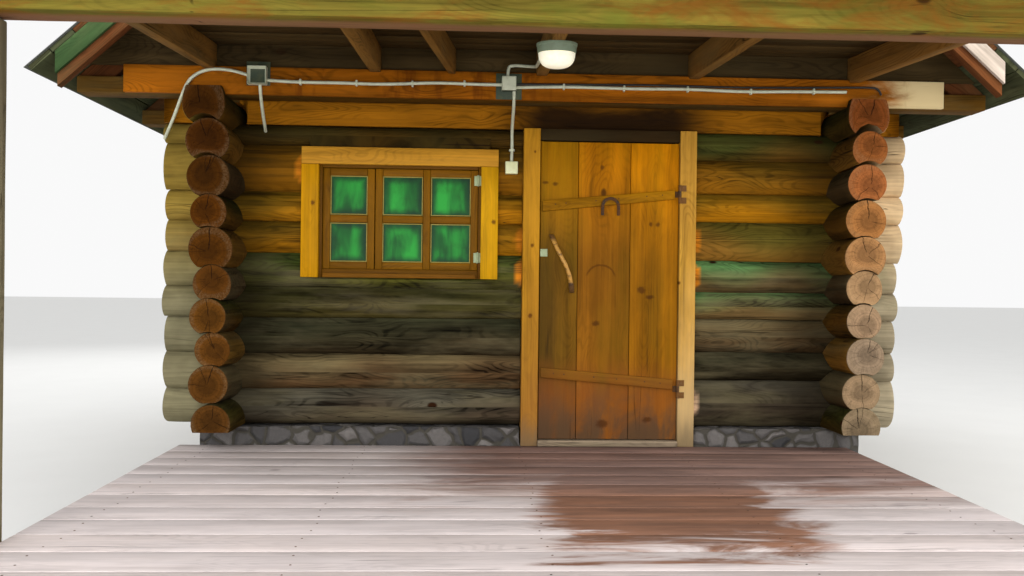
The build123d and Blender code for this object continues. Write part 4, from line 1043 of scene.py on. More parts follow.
# %% Timbers
timber("front_top_log", (146, 92, 14), [top_wood, timber_end], "hewn_timber", seed=3, bevel=0.012, wander=0.006,
       step=0.12)
timber("rear_top_log", (120, 96, 56), ROUGH, "hewn_timber", seed=4, bevel=0.012, wander=0.006, step=0.2)
timber("tie_beams", (84, 57, 16), ROUGH, "hewn_timber", seed=5, bevel=0.006, wander=0.003)
timber("tie_infill", (112, 86, 44), ROUGH, "hewn_timber", seed=6, bevel=0.006, wander=0.002)
timber("face_board", (146, 82, 11), [board_wood, timber_end], "fresh_board", seed=7, bevel=0.004, wander=0.002)
timber("rafters", (94, 54, 28), ROUGH, "roof_timber", seed=8, bevel=0.005, wander=0.002)
timber("porch_joists", (120, 84, 38), ROUGH, "roof_timber", seed=9, bevel=0.005, wander=0.002)
timber("porch_front_beam", (105, 92, 34), [beam_wood, timber_end], "weathered_timber", seed=10, bevel=0.008,
       wander=0.004, step=0.1)
timber("porch_posts", (124, 116, 92), ROUGH, "weathered_timber", seed=11, bevel=0.008, wander=0.003, step=0.12)

# %% Bargeboards and bearers
barges = separate_solids("bargeboards")
barges.sort(key=lambda solid: (max(v.co.y for v in solid.verts) > 0, max(v.co.x for v in solid.verts) > 1))
barge_tones = [(54, 76, 44), (208, 192, 178), (120, 116, 92), (132, 126, 102)]
dressed = [dress(solid, paint(*tone)[:3], 0.13 + 0.22 * i, None, 0.003, 0.001)
           for i, (solid, tone) in enumerate(zip(barges, barge_tones))]
keep_piece("bargeboards_wood", dressed, ROUGH, "cabin", ["bargeboards"], "weathered_timber")
timber("bearers", (120, 108, 88), ROUGH, "weathered_timber", seed=13, bevel=0.005, wander=0.002, step=0.5)

# %% [markdown]
# ## Boards cut from the frame's sheets
# The frame has the deck, the floors, the gables and the roof boards as plain sheets. Here each sheet is cut
# into boards with planes, and each board is dressed alone, so every joint is a real gap with its shadow.

# %% Deck finish
def rained_on(tree, spot, colour, grain):
    """Wet, brown boards in front of the door, pale and silvery ones along the open edge."""
    place = coordinates(tree, spot)
    soft = speckle(tree, stretched(tree, spot, (1.1, 4.5, 1.0)), 1.0, 6.0, 0.68, 0.8)
    ragged = times(tree, soft, 1.5)
    outward = calc(tree, "ADD", place[1], ragged)
    near_wall = times(tree, faded(tree, outward, -1.62, -0.92),
                      faded(tree, calc(tree, "ADD", place[0], soft), -0.45, 0.25))
    off_door = apart(tree, times_plus(tree, soft, 0.8, place[0]), 0.85)
    splash = times(tree, faded(tree, off_door, 0.6, 0.42), faded(tree, outward, -2.3, -2.05))
    wet = calc(tree, "MAXIMUM", near_wall, splash)
    damp = mixed(tree, faded(tree, place[1], -1.75, -2.25), paint(164, 134, 120), paint(158, 108, 70))
    darker = mixed(tree, 1.0, colour, damp, "MULTIPLY")
    streaks = speckle(tree, stretched(tree, spot, (2.0, 16.0, 1.0)), 1.0, 4.0)
    streaks = times_plus(tree, faded(tree, streaks, 0.35, 0.65), 0.45, 0.72)
    darker = scaled(tree, darker, streaks)
    return mixed(tree, times(tree, wet, 0.9), colour, darker)


deck_wood = wood("grey deck board", rained_on, contrast=0.5, weather=(215, 206, 206), fineness=120.0, knots=0.5,
                 cracks=0.5, relief=0.0008, figure=0.1)
# a plain dark board, for the gable, the porch roof and the door's head
dark_wood = wood("dark brown board", contrast=0.9, weather=(70, 62, 40), weathered=0.3, knots=0.6, cracks=0.6,
                 roughness=0.85)
print("deck and dark boards:", deck_wood.name, dark_wood.name)

# %% Boards
def boarding(name, along, across, width, gap, colour, materials, slot, spread, seed, **shape):
    """Boards cut from every solid of one CAD node; across and colour may be functions."""
    boards = []
    shade = tones((255, 255, 255), spread, seed)
    for i, solid in enumerate(separate_solids(name)):
        direction = across(solid) if callable(across) else across
        for board in cut_into_boards(solid, direction, width, gap, seed + i, spread=0.2):
            if board.faces:
                light, number = next(shade)
                base = paint(*(colour(board) if callable(colour) else colour))
                tone = [a * b for a, b in zip(light, base)]
                boards.append(dress(board, tone, number, axis=along, **shape))
        solid.free()
    return keep_piece(name + "_wood", boards, materials, "cabin", [name], slot)


ROOF_PITCH = math.radians(42)


def down_slope(solid):
    """Direction down a roof slope, from the side that it lies on."""
    side = 1 if sum(v.co.x for v in solid.verts) > 0 else -1
    return (side * math.cos(ROOF_PITCH), 0, -math.sin(ROOF_PITCH))


def weathered_at_eaves(board):
    """Roof boards are grey-green along the eaves and reddish brown further up."""
    middle = sum(v.co.z for v in board.verts) / len(board.verts)
    return (66, 70, 48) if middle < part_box("roof_boards")[0].z + 0.20 else (98, 58, 32)


JOIST_START, JOIST_HEIGHT = 0.320, 2.055      # in front of the wall's axis, and over the deck
PORCH_FALL = (JOIST_HEIGHT - 1.965 + 0.035) / (2.112 - JOIST_START)
DARK = [dark_wood, timber_end]
boarding("deck_boards", X, Y, 0.205, 0.006, (195, 184, 181), [deck_wood, timber_end], "deck_wood", 0.1, 21,
         bevel=0.004, wander=0.002, step=0.3)
boarding("floor_boards", Y, X, 0.14, 0.002, (150, 112, 62), [varnished_wood, timber_end], "deck_wood", 0.1, 22,
         bevel=0.002, wander=0.0005, step=1.0)
boarding("ceiling_boards", Y, X, 0.15, 0.002, (120, 88, 46), ROUGH, "dark_wood", 0.1, 23,
         bevel=0.002, wander=0.0005, step=1.0)
boarding("porch_roof_boards", X, (0, -1, -PORCH_FALL), 0.15, 0.004, (66, 50, 26), DARK, "dark_wood", 0.3, 24,
         bevel=0.002, wander=0.001, step=0.8)
boarding("roof_boards", Y, down_slope, 0.15, 0.004, weathered_at_eaves, [timber_wood, timber_wood], "dark_wood",
         0.25, 25, bevel=0.002, wander=0.001, step=1.0)
boarding("gable_boards", X, Z, 0.16, 0.003, (64, 50, 28), DARK, "dark_wood", 0.2, 26,
         bevel=0.002, wander=0.0008, step=0.8)

# %% [markdown]
# ## The door
# Three wide planks, warm brown from old oil, darker where rain has run. Two battens slope across them.
# The posts stand proud of the logs and are lighter, because they were put in later.

# %% Door and its frame
DOOR = [door_wood, timber_end]
planks = separate_solids("door_planks")
planks.sort(key=lambda solid: min(v.co.x for v in solid.verts))
plank_tones = [(107, 73, 15), (127, 80, 15), (136, 87, 9)]
dressed = [dress(solid, paint(*tone)[:3], 0.21 + 0.27 * i, Z, 0.003, 0.001, 0.2)
           for i, (solid, tone) in enumerate(zip(planks, plank_tones))]
keep_piece("door_planks_wood", dressed, DOOR, "door", ["door_planks"], "door_wood")
timber("door_battens", (117, 80, 15), DOOR, "door_wood", 0.08, "door", 31, bevel=0.003, wander=0.001, step=0.1)
for name, colour, seed in (("door_post_left", (174, 123, 30), 32), ("door_post_right", (188, 141, 54), 33)):
    timber(name, colour, [post_wood, timber_end], "fresh_board", 0.05, seed=seed, axis=Z,
           bevel=0.003, wander=0.001, step=0.2)
timber("door_head", (44, 31, 14), DARK, "dark_wood", seed=34, bevel=0.002, wander=0.001)
timber("door_threshold", (142, 126, 106), ROUGH, "dark_wood", seed=35, bevel=0.006, wander=0.003, step=0.08)

# %% [markdown]
# ## The window
# The casing is three wide boards, bright with new varnish. The frame and the two sashes are built from
# bars, upright and level, because grain has to follow each bar.

# %% Window
bright = [varnished_wood, timber_end]
casing = separate_solids("window_casing")
casing.sort(key=lambda solid: min(v.co.x for v in solid.verts) + min(v.co.z for v in solid.verts))
casing_tones = [(198, 140, 6), (188, 134, 40), (198, 146, 8)]
dressed = [dress(solid, paint(*tone)[:3], 0.3 * i + 0.1, None, 0.003, 0.001, 0.2)
           for i, (solid, tone) in enumerate(zip(casing, casing_tones))]
keep_piece("window_casing_wood", dressed, [casing_wood, timber_end], "cabin", ["window_casing"], "fresh_board")


def bar_frame(low, high, width, y, tone, seed, uprights=(), levels=(), joint=0.0005):
    """Rectangular frame with bars between, its uprights whole and its level bars between them."""
    bars = []
    for x in (low[0], high[0] - width, *[x - width / 2 for x in uprights]):
        bars.append((Z, (x, y[0], low[1]), (x + width, y[1], high[1])))
    stops = [low[0] + width, high[0] - width]
    stops = sorted(stops + [stop for x in uprights for stop in (x - width / 2, x + width / 2)])
    for left, right in zip(stops[::2], stops[1::2]):
        for z in (low[1], high[1] - width, *[z - width / 2 for z in levels]):
            bars.append((X, (left + joint, y[0], z), (right - joint, y[1], z + width)))
    return [dress(new_bar(a, b), paint(*tone)[:3], (seed + 0.17 * i) % 1, axis, 0.003, 0.0008, 0.1)
            for i, (axis, a, b) in enumerate(bars)]


frame_low, frame_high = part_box("window_frame")
frame_front, frame_back = FRONT_Y - HEWN_DEPTH, FRONT_Y + 0.090
bars = bar_frame((HOLE_X[0], WINDOW_Z[0]), (HOLE_X[1], HOLE_TOP), 0.050, (frame_front, frame_back),
                 (97, 63, 5), 0.3)
sill = new_bar((frame_low.x + 0.063, frame_low.y, WINDOW_Z[0]),
               (frame_high.x - 0.063, frame_front, WINDOW_Z[0] + 0.026))
bars.append(dress(sill, paint(112, 72, 12)[:3], 0.77, X, 0.004, 0.001, 0.1))
keep_piece("window_frame_wood", bars, bright, "cabin", ["window_frame"], "brown_frame")

# %% Sashes
sash_low, sash_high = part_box("window_sashes")
pane_solids = separate_solids("window_glass")
panes = sorted((min(v.co.x for v in s.verts), max(v.co.x for v in s.verts),
                min(v.co.z for v in s.verts), max(v.co.z for v in s.verts)) for s in pane_solids)
meeting = (panes[1][1] + panes[2][0]) / 2
level = (panes[0][3] + panes[1][2]) / 2
upright = (panes[3][1] + panes[4][0]) / 2
sash_y = (sash_low.y, sash_high.y)
bars = bar_frame((sash_low.x, sash_low.z), (meeting - 0.002, sash_high.z), 0.041, sash_y, (112, 74, 5), 0.45,
                 (), (level,))
bars += bar_frame((meeting + 0.002, sash_low.z), (sash_high.x, sash_high.z), 0.041, sash_y, (118, 78, 6), 0.65,
                  (upright,), (level,))
keep_piece("window_sashes_wood", bars, bright, "cabin", ["window_sashes"], "brown_frame")
print("panes:", len(panes), "meeting stiles at", round(meeting, 3))

# %% [markdown]
# ## Glass and putty
# The panes' deep green is a painted reflection, with pale upright streaks like the folds of a thin curtain close
# behind them.
# So each pane is one sheet whose colour holds that reflection and those folds, with painted shade along the
# sash bars. A line of yellowed putty edges it.

# %% Glass
glass, tree, shader, spot = new_material("green pane")
place = coordinates(tree, spot)
folds = speckle(tree, stretched(tree, spot, (12, 1, 3.0)), 1.0, 3.0, 0.5, 0.4)
cloud = speckle(tree, stretched(tree, spot, (6, 1, 6)), 1.0, 4.0, 0.6)
# painted reflection: the panes' green with its pale streaks
green = mixed(tree, faded(tree, folds, 0.32, 0.68), paint(12, 84, 30), paint(40, 160, 56))
green = tinted(tree, green, faded(tree, cloud, 0.5, 0.75), 0.5, (22, 50, 12))
edge = 9.0   # 0 in the middle of a pane, 1 at its edge; any larger number to begin with
for left, right, low, high in panes:
    beside = times(tree, apart(tree, place[0], (left + right) / 2), 2 / (right - left))
    above = times(tree, apart(tree, place[2], (low + high) / 2), 2 / (high - low))
    edge = calc(tree, "MINIMUM", edge, calc(tree, "MAXIMUM", beside, above))
# painted shade: each pane is darker along its sash bars
dim = faded(tree, times_plus(tree, cloud, 0.5, edge), 0.8, 1.18)
green = tinted(tree, green, dim, 0.8, (8, 42, 24))
tree.links.new(green, shader.inputs["Base Color"])
shader.inputs["Roughness"].default_value = 0.3
shader.inputs["Specular IOR Level"].default_value = 0.08
bumped(tree, shader, cloud, 0.08, 0.002)
cad_nodes["window_glass"].data.materials.clear()
cad_nodes["window_glass"].data.materials.append(glass)
print("panes:", len(panes), "with", glass.name)

# %% Putty
PUTTY = 0.006             # width of the line
putty, tree, shader, spot = new_material("cream putty")
crumbs = speckle(tree, spot, 90.0, 4.0)
tree.links.new(mixed(tree, crumbs, paint(128, 104, 36), paint(184, 174, 92)), shader.inputs["Base Color"])
shader.inputs["Roughness"].default_value = 0.8
bumped(tree, shader, crumbs, 0.6, 0.001)
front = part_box("window_glass")[0].y
lines = []
for left, right, low, high in panes:
    for (a, b), (c, d) in (((left, left + PUTTY), (low, high)), ((right - PUTTY, right), (low, high)),
                           ((left, right), (low, low + PUTTY)), ((left, right), (high - PUTTY, high))):
        line = new_bar((a, front - 0.010, c), (b, front - 0.0002, d))
        lines.append(dress(line, UNTINTED, 0.5, None, 0.002, 0.0008, 0.05))
keep_piece("putty_lines", lines, [putty, putty], "cabin", (), "fresh_board")

# %% [markdown]
# ## Ironwork
# Old steel is never one colour: rust sits in patches, brown over near black, and is rougher than the rest.
# The latch plate and the window's hinges were painted pale green with some of the woodwork's paint.

# %% Iron and paint
def worn_metal(name, clean, rust, share, metallic, roughness):
    """Paint or bare metal with patches of rust."""
    material, tree, shader, spot = new_material(name)
    patch = faded(tree, speckle(tree, spot, 38.0, 6.0, 0.65), 1 - share, 1.12 - share)
    grit = speckle(tree, spot, 220.0, 3.0)
    rusty = mixed(tree, grit, paint(*rust), paint(88, 54, 24))
    tree.links.new(mixed(tree, patch, paint(*clean), rusty), shader.inputs["Base Color"])
    tree.links.new(times(tree, calc(tree, "SUBTRACT", 1.0, patch), metallic), shader.inputs["Metallic"])
    tree.links.new(times_plus(tree, patch, 0.4, roughness), shader.inputs["Roughness"])
    bumped(tree, shader, times_plus(tree, patch, 0.6, grit), 0.5, 0.0006)
    return material


iron = worn_metal("rusty iron", (40, 30, 18), (72, 44, 18), 0.6, 0.3, 0.6)
strap_iron = worn_metal("strap iron", (58, 40, 18), (82, 54, 22), 0.6, 0.2, 0.6)
old_brackets = worn_metal("bracket iron", (104, 70, 26), (122, 82, 30), 0.6, 0.1, 0.6)
green_paint = worn_metal("pale green paint", (158, 172, 130), (110, 96, 60), 0.42, 0.0, 0.5)


def metal_copy(name, material, body, slot, bevel):
    """Copy of a node's solids with small rounded edges."""
    copies = [plain(solid, (1 + 0.3 * i) % 1, bevel, None) for i, solid in enumerate(separate_solids(name))]
    return keep_piece(name + "_metal", copies, [material, material], body, [name], slot)


metal_copy("door_hinge_straps", strap_iron, "door", "iron", 0.0006)
metal_copy("hinge_brackets", old_brackets, "cabin", "iron", 0.0006)
metal_copy("door_horseshoe", iron, "door", "iron", 0.002)
metal_copy("door_latch_plate", green_paint, "door", "pale_plate", 0.0012)

# %% The window's hinges
hinges = []
for z in (DECK_Z + 1.505, DECK_Z + 1.065):
    x, y = sash_high.x, frame_front
    hinges.append(new_bar((x - 0.022, y - 0.003, z - 0.028), (x + 0.024, y + 0.008, z + 0.028)))
    knuckle = bmesh.new()
    bmesh.ops.create_cone(knuckle, cap_ends=True, segments=16, radius1=0.0065, radius2=0.0065, depth=0.062)
    bmesh.ops.translate(knuckle, vec=(x, y - 0.006, z), verts=knuckle.verts)
    hinges.append(knuckle)
hinges = [plain(bm, 0.4, 0.0012) for bm in hinges]
keep_piece("window_hinges", hinges, [green_paint, green_paint], "cabin", (), "pale_plate")

# %% [markdown]
# ## The door's handle
# A bent branch, peeled so that the pale wood shows, with dark bark left at both ends where it is nailed.
# It starts as a round bar bent along an arc, and its outline swells at the places of old twigs.

# %% Branch finish
branch_wood, tree, shader, spot = new_material("peeled branch")
vector, _, _ = grain_map(tree)
grain = place_group(tree, grain_group, Vector=vector, Fineness=90.0, Knots=0.6, Cracks=0.6)
height_on_door = coordinates(tree, spot)[2]
bark = calc(tree, "MAXIMUM", faded(tree, height_on_door, DECK_Z + 1.155, DECK_Z + 1.185),
            faded(tree, height_on_door, DECK_Z + 0.945, DECK_Z + 0.915))
pale = mixed(tree, grain["Fibre"], paint(150, 100, 30), paint(214, 162, 72))
ringed = faded(tree, speckle(tree, stretched(tree, spot, (20, 20, 42)), 1.0, 4.0), 0.5, 0.62)
pale = tinted(tree, pale, ringed, 0.75, (70, 40, 14))
tree.links.new(tinted(tree, pale, bark, 0.85, (58, 34, 20)), shader.inputs["Base Color"])
shader.inputs["Roughness"].default_value = 0.5
bumped(tree, shader, grain["Fibre"], 0.7, 0.001)
print("finish:", branch_wood.name)

# %% Bent branch
handle_low, handle_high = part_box("door_handle")
upper = Vector((handle_low.x + 0.012, handle_high.y, handle_high.z - 0.018))
lower = Vector((handle_high.x - 0.018, handle_high.y, handle_low.z + 0.012))
branch = bmesh.new()
bmesh.ops.create_cone(branch, cap_ends=True, segments=18, radius1=0.0125, radius2=0.0125, depth=1.0)
lines = [e for e in branch.edges if e.calc_length() > 0.9]
bmesh.ops.subdivide_edges(branch, edges=lines, cuts=40)
sag = handle_high.y - handle_low.y - 0.013
for vert in branch.verts:
    share = vert.co.z + 0.5
    arc = 4 * share * (1 - share)
    swell = 1 + 0.10 * math.sin(share * 23) * math.sin(share * 9) + 0.12 * (1 - arc)
    centre = upper.lerp(lower, share) + Vector((0.010 * arc - 0.006 * math.sin(share * 7), -sag * arc ** 0.8, 0))
    vert.co = centre + Vector((vert.co.x, vert.co.y * (0.75 + 0.25 * arc), 0)) * swell
    vert.co.y = min(vert.co.y, handle_high.y - 0.0004)
dress(branch, UNTINTED, 0.3, (lower - upper).normalized(), 0.0, 0.0, 5.0)
keep_piece("door_handle_wood", [branch], [branch_wood, branch_wood], "door", ["door_handle"], "peeled_branch", 60)

# %% [markdown]
# ## Nails
# Flat nail heads sit in the battens and the deck. Each is a low dome of a few faces.

# %% Nails
def nail_heads(name, spots, facing, radius, body):
    """Low domes at points on a face that looks along a direction."""
    heads = []
    turned = Z.rotation_difference(Vector(facing)).to_matrix().to_4x4()
    for point in spots:
        head = bmesh.new()
        bmesh.ops.create_cone(head, cap_ends=True, segments=10, radius1=radius, radius2=radius * 0.55,
                              depth=radius * 0.4)
        bmesh.ops.transform(head, matrix=Matrix.Translation(point) @ turned, verts=head.verts)
        write_map(head, Vector(facing), UNTINTED, 0.5)
        heads.append(head)
    return keep_piece(name, heads, [iron, iron], body, (), "iron", 60)


batten_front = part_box("door_battens")[0].y
on_battens = [(x, batten_front + 0.0004, DECK_Z + z + slope * (x - 0.03))
              for z, slope in ((1.366, 0.1), (0.421, -0.083)) for x in (0.10, 0.16, 0.33, 0.46, 0.62, 0.71)]
nail_heads("batten_nails", on_battens, (0, -1, 0), 0.005, "door")
deck_low, deck_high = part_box("deck_boards")
rows = [deck_low.x + 0.18 + i * (deck_high.x - deck_low.x - 0.36) / 4 for i in range(5)]
on_deck = [(x + 0.012 * math.sin(i * 5 + x * 9), deck_low.y + 0.052 + i * 0.1025, DECK_Z - 0.0012)
           for x in rows for i in range(24)]
nail_heads("deck_nails", on_deck, (0, 0, 1), 0.006, "cabin")

# %% [markdown]
# ## Rubble, felt and hidden supports
# The logs stand on a strip of field stones in grey mortar. A strip cut into squares, with each point moved inwards
# by a noise pattern, gives stones that catch the light, and a cell pattern colours them.

# %% Rubble
rubble, tree, shader, spot = new_material("rubble in mortar")
clouds = put(tree, "ShaderNodeTexNoise", (("Vector", spot), ("Scale", 6.0))).outputs["Color"]
wobbly = added(tree, spot, scaled(tree, clouds, 0.09))
cells = put(tree, "ShaderNodeTexVoronoi", (("Vector", wobbly), ("Scale", 9.0)))
edges = put(tree, "ShaderNodeTexVoronoi", (("Vector", wobbly), ("Scale", 9.0)), feature="DISTANCE_TO_EDGE")
stone = coordinates(tree, cells.outputs["Color"])[0]
grit = speckle(tree, spot, 60.0, 6.0, 0.7)
body_colour = mixed(tree, stone, paint(50, 50, 53), paint(132, 126, 122))
body_colour = tinted(tree, body_colour, grit, 0.6, (48, 46, 44))
mortar = faded(tree, edges.outputs["Distance"], 0.1, 0.04)
tree.links.new(mixed(tree, mortar, body_colour, paint(66, 62, 54)), shader.inputs["Base Color"])
shader.inputs["Roughness"].default_value = 0.9
height = times_plus(tree, faded(tree, edges.outputs["Distance"], 0.0, 0.2), 3.0, grit)
bumped(tree, shader, height, 0.9, 0.006)
SQUARE = 0.045            # the strips are cut this fine, so that single stones stand out
for name in ("plinth_front_and_rear", "plinth_sides", "piers"):
    stones = []
    for i, solid in enumerate(separate_solids(name)):
        bmesh.ops.triangulate(solid, faces=solid.faces)
        for axis in () if name == "piers" else (X, Y, Z):
            reach = [v.co.dot(axis) for v in solid.verts]
            low, high = min(reach), max(reach)
            for k in range(1, int((high - low) / SQUARE)):
                at = low + SQUARE * k
                bmesh.ops.bisect_plane(solid, geom=everything(solid), plane_co=axis * at, plane_no=axis)
        stones.append(dress(solid, UNTINTED, 0.1 * i % 1, Z, 0.01 if name == "piers" else 0.0, 0.022, 9.0))
    keep_piece(name + "_stone", stones, [rubble, rubble], "cabin", [name], "rubble", 60)

# %% Felt
felt, tree, shader, spot = new_material("roofing felt")
grit = speckle(tree, spot, 400.0, 2.0)
stain = faded(tree, speckle(tree, spot, 1.6, 6.0, 0.6), 0.35, 0.7)
base = mixed(tree, grit, paint(44, 46, 46), paint(98, 100, 96))
tree.links.new(tinted(tree, base, stain, 0.45, (86, 92, 62)), shader.inputs["Base Color"])
shader.inputs["Roughness"].default_value = 0.92
bumped(tree, shader, times_plus(tree, stain, 0.6, grit), 0.7, 0.001)


def rolls(name, halves, width, seed):
    """Felt laid in rolls along the eaves; halves are (solid, axis of the rolls, direction across them)."""
    pieces = []
    for half, axis, direction in halves:
        for i, roll in enumerate(cut_into_boards(half, direction, width, 0.0, seed)):
            pieces.append(dress(roll, UNTINTED, 0.2 * i % 1, axis, 0.0012, 0.0015, 0.2, 1))
    return keep_piece(name + "_rolls", pieces, [felt, felt], "cabin", [name], "felt")


ROLL_WIDTH = 0.95
halves = [kept_between(solid, X, low, high) for solid in separate_solids("roof_felt")
          for low, high in ((-9, 0), (0, 9))]
rolls("roof_felt", [(half, Y, down_slope(half)) for half in halves], ROLL_WIDTH, 41)
rolls("porch_felt", [(solid, X, (0, -1, -PORCH_FALL)) for solid in separate_solids("porch_felt")], ROLL_WIDTH, 42)

# %% [markdown]
# ## The electrical fittings
# Grey-white conduit sags between its clips, a black cable runs above it on the right, and each joint has a
# box. Curves with a round bevel follow the routes that the frame has, and become meshes at once.

# %% Plastics
def plastic(name, colour, dirt, roughness, amount=0.35):
    """Moulded plastic with grime in soft patches."""
    material, tree, shader, spot = new_material(name)
    grime = times(tree, faded(tree, speckle(tree, spot, 26.0, 6.0, 0.65), 0.42, 0.75), amount)
    tree.links.new(mixed(tree, grime, paint(*colour), paint(*dirt)), shader.inputs["Base Color"])
    tree.links.new(times_plus(tree, grime, 0.4, roughness), shader.inputs["Roughness"])
    bumped(tree, shader, speckle(tree, spot, 160.0, 3.0), 0.15, 0.0005)
    return material


white_plastic = plastic("grey-white plastic", (196, 200, 176), (128, 118, 82), 0.42)
switch_plastic = plastic("cream plastic", (218, 220, 172), (150, 124, 80), 0.35, 0.2)
plate_paint = plastic("dark green plate", (44, 58, 40), (92, 92, 60), 0.6, 0.6)
black_cable = plastic("black cable", (22, 20, 18), (64, 56, 44), 0.5)
lamp_green = plastic("grey-green lamp base", (120, 136, 112), (90, 84, 56), 0.5)
milky = plastic("milky lamp glass", (250, 246, 226), (196, 128, 40), 0.18, 0.15)
# painted light: the milky dome is given a faint glow of its own
painted_glow = milky.node_tree.nodes["Principled BSDF"].inputs
painted_glow["Emission Color"].default_value = paint(250, 244, 214)
painted_glow["Emission Strength"].default_value = 0.4
print("plastics:", white_plastic.name, switch_plastic.name, plate_paint.name, lamp_green.name, milky.name)

# %% Conduits and cable
BOX_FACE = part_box("box_back_plates")[0].y
CONDUIT_RADIUS, CABLE_RADIUS = 0.0088, 0.0058
CONDUIT_Y = BOX_FACE - 0.0093
WALL_Y = FRONT_Y - LOG_RADIUS - 0.0098


def run(name, routes, radius, material, nodes, slot):
    """Round tubes along smooth curves through the given places, as one mesh."""
    curve = bpy.data.curves.new(name, "CURVE")
    curve.dimensions = "3D"
    curve.bevel_depth = radius
    curve.bevel_resolution = 3
    curve.resolution_u = 6
    curve.use_fill_caps = True
    for points in routes:
        spline = curve.splines.new("NURBS")
        spline.points.add(len(points) - 1)
        for control, point in zip(spline.points, points):
            control.co = (*point, 1.0)
        spline.order_u = 3
        spline.use_endpoint_u = True
    holder = bpy.data.objects.new(name, curve)
    mesh = bpy.data.meshes.new_from_object(holder)
    bpy.data.objects.remove(holder)
    bm = bmesh.new()
    bm.from_mesh(mesh)
    bpy.data.meshes.remove(mesh)
    bmesh.ops.remove_doubles(bm, verts=bm.verts, dist=1e-6)
    bmesh.ops.recalc_face_normals(bm, faces=bm.faces)
    write_map(bm, X, UNTINTED, 0.5)
    return keep_piece(name, [bm], [material, material], "cabin", nodes, slot, 60)


def on_face(points, y=CONDUIT_Y):
    """Places on the long board's face, from (x, height over the deck) pairs."""
    return [(x, y, DECK_Z + z) for x, z in points]


joist_side = -0.030 - 0.0105
sagging = [
    on_face([(-1.480, 1.995), (-1.33, 1.987), (-1.10, 1.990), (-0.85, 1.985), (-0.56, 2.003), (-0.35, 1.996),
             (-0.215, 1.998)]),
    on_face([(-0.145, 1.984), (0.1, 1.996), (0.5, 1.990), (0.8, 1.997), (1.1, 1.987), (1.4, 1.996), (1.683, 1.998)]),
    on_face([(-1.572, 2.018), (-1.64, 2.040), (-1.72, 2.050), (-1.80, 2.046), (-1.87, 2.010), (-1.905, 1.962),
             (-1.932, 1.890)])
    + [(-2.010, FRONT_Y - 0.24, DECK_Z + 1.80), (-2.095, WALL_Y, front_log_z(9))],
    on_face([(-0.150, 1.965), (-0.150, 1.90)])
    + [(-0.150, WALL_Y, DECK_Z + 1.79), (-0.147, WALL_Y, DECK_Z + 1.70), (-0.150, WALL_Y, DECK_Z + 1.611)],
    on_face([(-1.514, 1.970), (-1.512, 1.89)]) + [(-1.536, WALL_Y, DECK_Z + 1.760)],
    on_face([(-0.185, 2.038), (-0.187, 2.090), (-0.16, 2.106)])
    + [(joist_side - 0.004, FRONT_Y - 0.46, DECK_Z + 2.075), (joist_side, FRONT_Y - 0.60, DECK_Z + 2.048),
       (joist_side, FRONT_Y - 1.204, DECK_Z + 2.004)],
]
run("white_conduits_tube", sagging, CONDUIT_RADIUS, white_plastic, ["white_conduits"], "white_plastic")
cable = on_face([(-0.145, 2.003), (0.1, 2.006), (0.42, 2.012), (0.75, 2.014), (1.05, 2.010), (1.35, 2.016),
                 (1.60, 2.022), (1.80, 2.027), (1.868, 2.024), (1.880, 1.985)], BOX_FACE - 0.0063)
run("black_cable_tube", [cable], CABLE_RADIUS, black_cable, ["black_cable"], "black_rubber")

# %% Clips
clips = []
for x, z in ((-1.30, 1.989), (-1.0, 1.989), (-0.7, 1.992), (-0.42, 2.000), (0.12, 1.994), (0.45, 1.991),
             (0.8, 1.994), (1.15, 1.989), (1.5, 1.997)):
    clips.append(new_bar((x - 0.006, CONDUIT_Y - 0.011, DECK_Z + z - 0.016),
                         (x + 0.006, FRONT_Y - 0.3499, DECK_Z + z + 0.016)))
on_wall = DECK_Z + 1.68
clips.append(new_bar((-0.165, WALL_Y - 0.011, on_wall - 0.006), (-0.133, FRONT_Y - 0.100, on_wall + 0.006)))
clips = [plain(bm, 0.3, 0.004) for bm in clips]
keep_piece("conduit_clips", clips, [white_plastic, white_plastic], "cabin", (), "white_plastic")

# %% Boxes and switch
def lidded(node, index, rim, depth):
    """Box of one solid whose front is inset and pressed in or out to make a lid."""
    box = sorted(separate_solids(node), key=lambda s: min(v.co.x for v in s.verts))[index]
    front = min(box.faces, key=lambda f: f.calc_center_median().y)
    bmesh.ops.inset_individual(box, faces=[front], thickness=rim, depth=depth)
    return plain(box, 0.4, 0.003)


left_box, middle_box = lidded("junction_boxes", 0, 0.012, -0.028), lidded("junction_boxes", 1, 0.006, 0.003)
LEFT_BOX = (-1.526, 2.016)   # its middle: x, and height over the deck
LID = (0.0375, 0.0355)       # half the width and half the height of its lid
for face in left_box.faces:
    centre = face.calc_center_median()
    inside = abs(centre.x - LEFT_BOX[0]) < LID[0] and abs(centre.z - DECK_Z - LEFT_BOX[1]) < LID[1]
    face.material_index = 1 if inside else 0
keep_piece("junction_boxes_shell", [left_box, middle_box], [white_plastic, plate_paint], "cabin",
           ["junction_boxes"], "white_plastic")
plates = [plain(s, 0.3 * i, 0.0015) for i, s in enumerate(separate_solids("box_back_plates"))]
keep_piece("box_back_plates_metal", plates, [plate_paint, plate_paint], "cabin", ["box_back_plates"], "dark_plate")
switch = lidded("wall_switch", 0, 0.010, 0.002)
low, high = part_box("wall_switch")
rocker = new_bar((low.x + 0.020, low.y - 0.0005, low.z + 0.018), (high.x - 0.020, low.y + 0.01, high.z - 0.018))
bmesh.ops.rotate(rocker, cent=((low.x + high.x) / 2, low.y + 0.006, (low.z + high.z) / 2),
                 matrix=Matrix.Rotation(math.radians(5), 3, "X"), verts=rocker.verts)
keep_piece("wall_switch_shell", [switch, plain(rocker, 0.2, 0.003)],
           [switch_plastic, switch_plastic], "cabin", ["wall_switch"], "white_plastic")

# %% [markdown]
# ## The lamp
# A round base under the middle joist carries a milky dome. Both are profiles spun about the lamp's axis,
# which follows the slope of the joists.

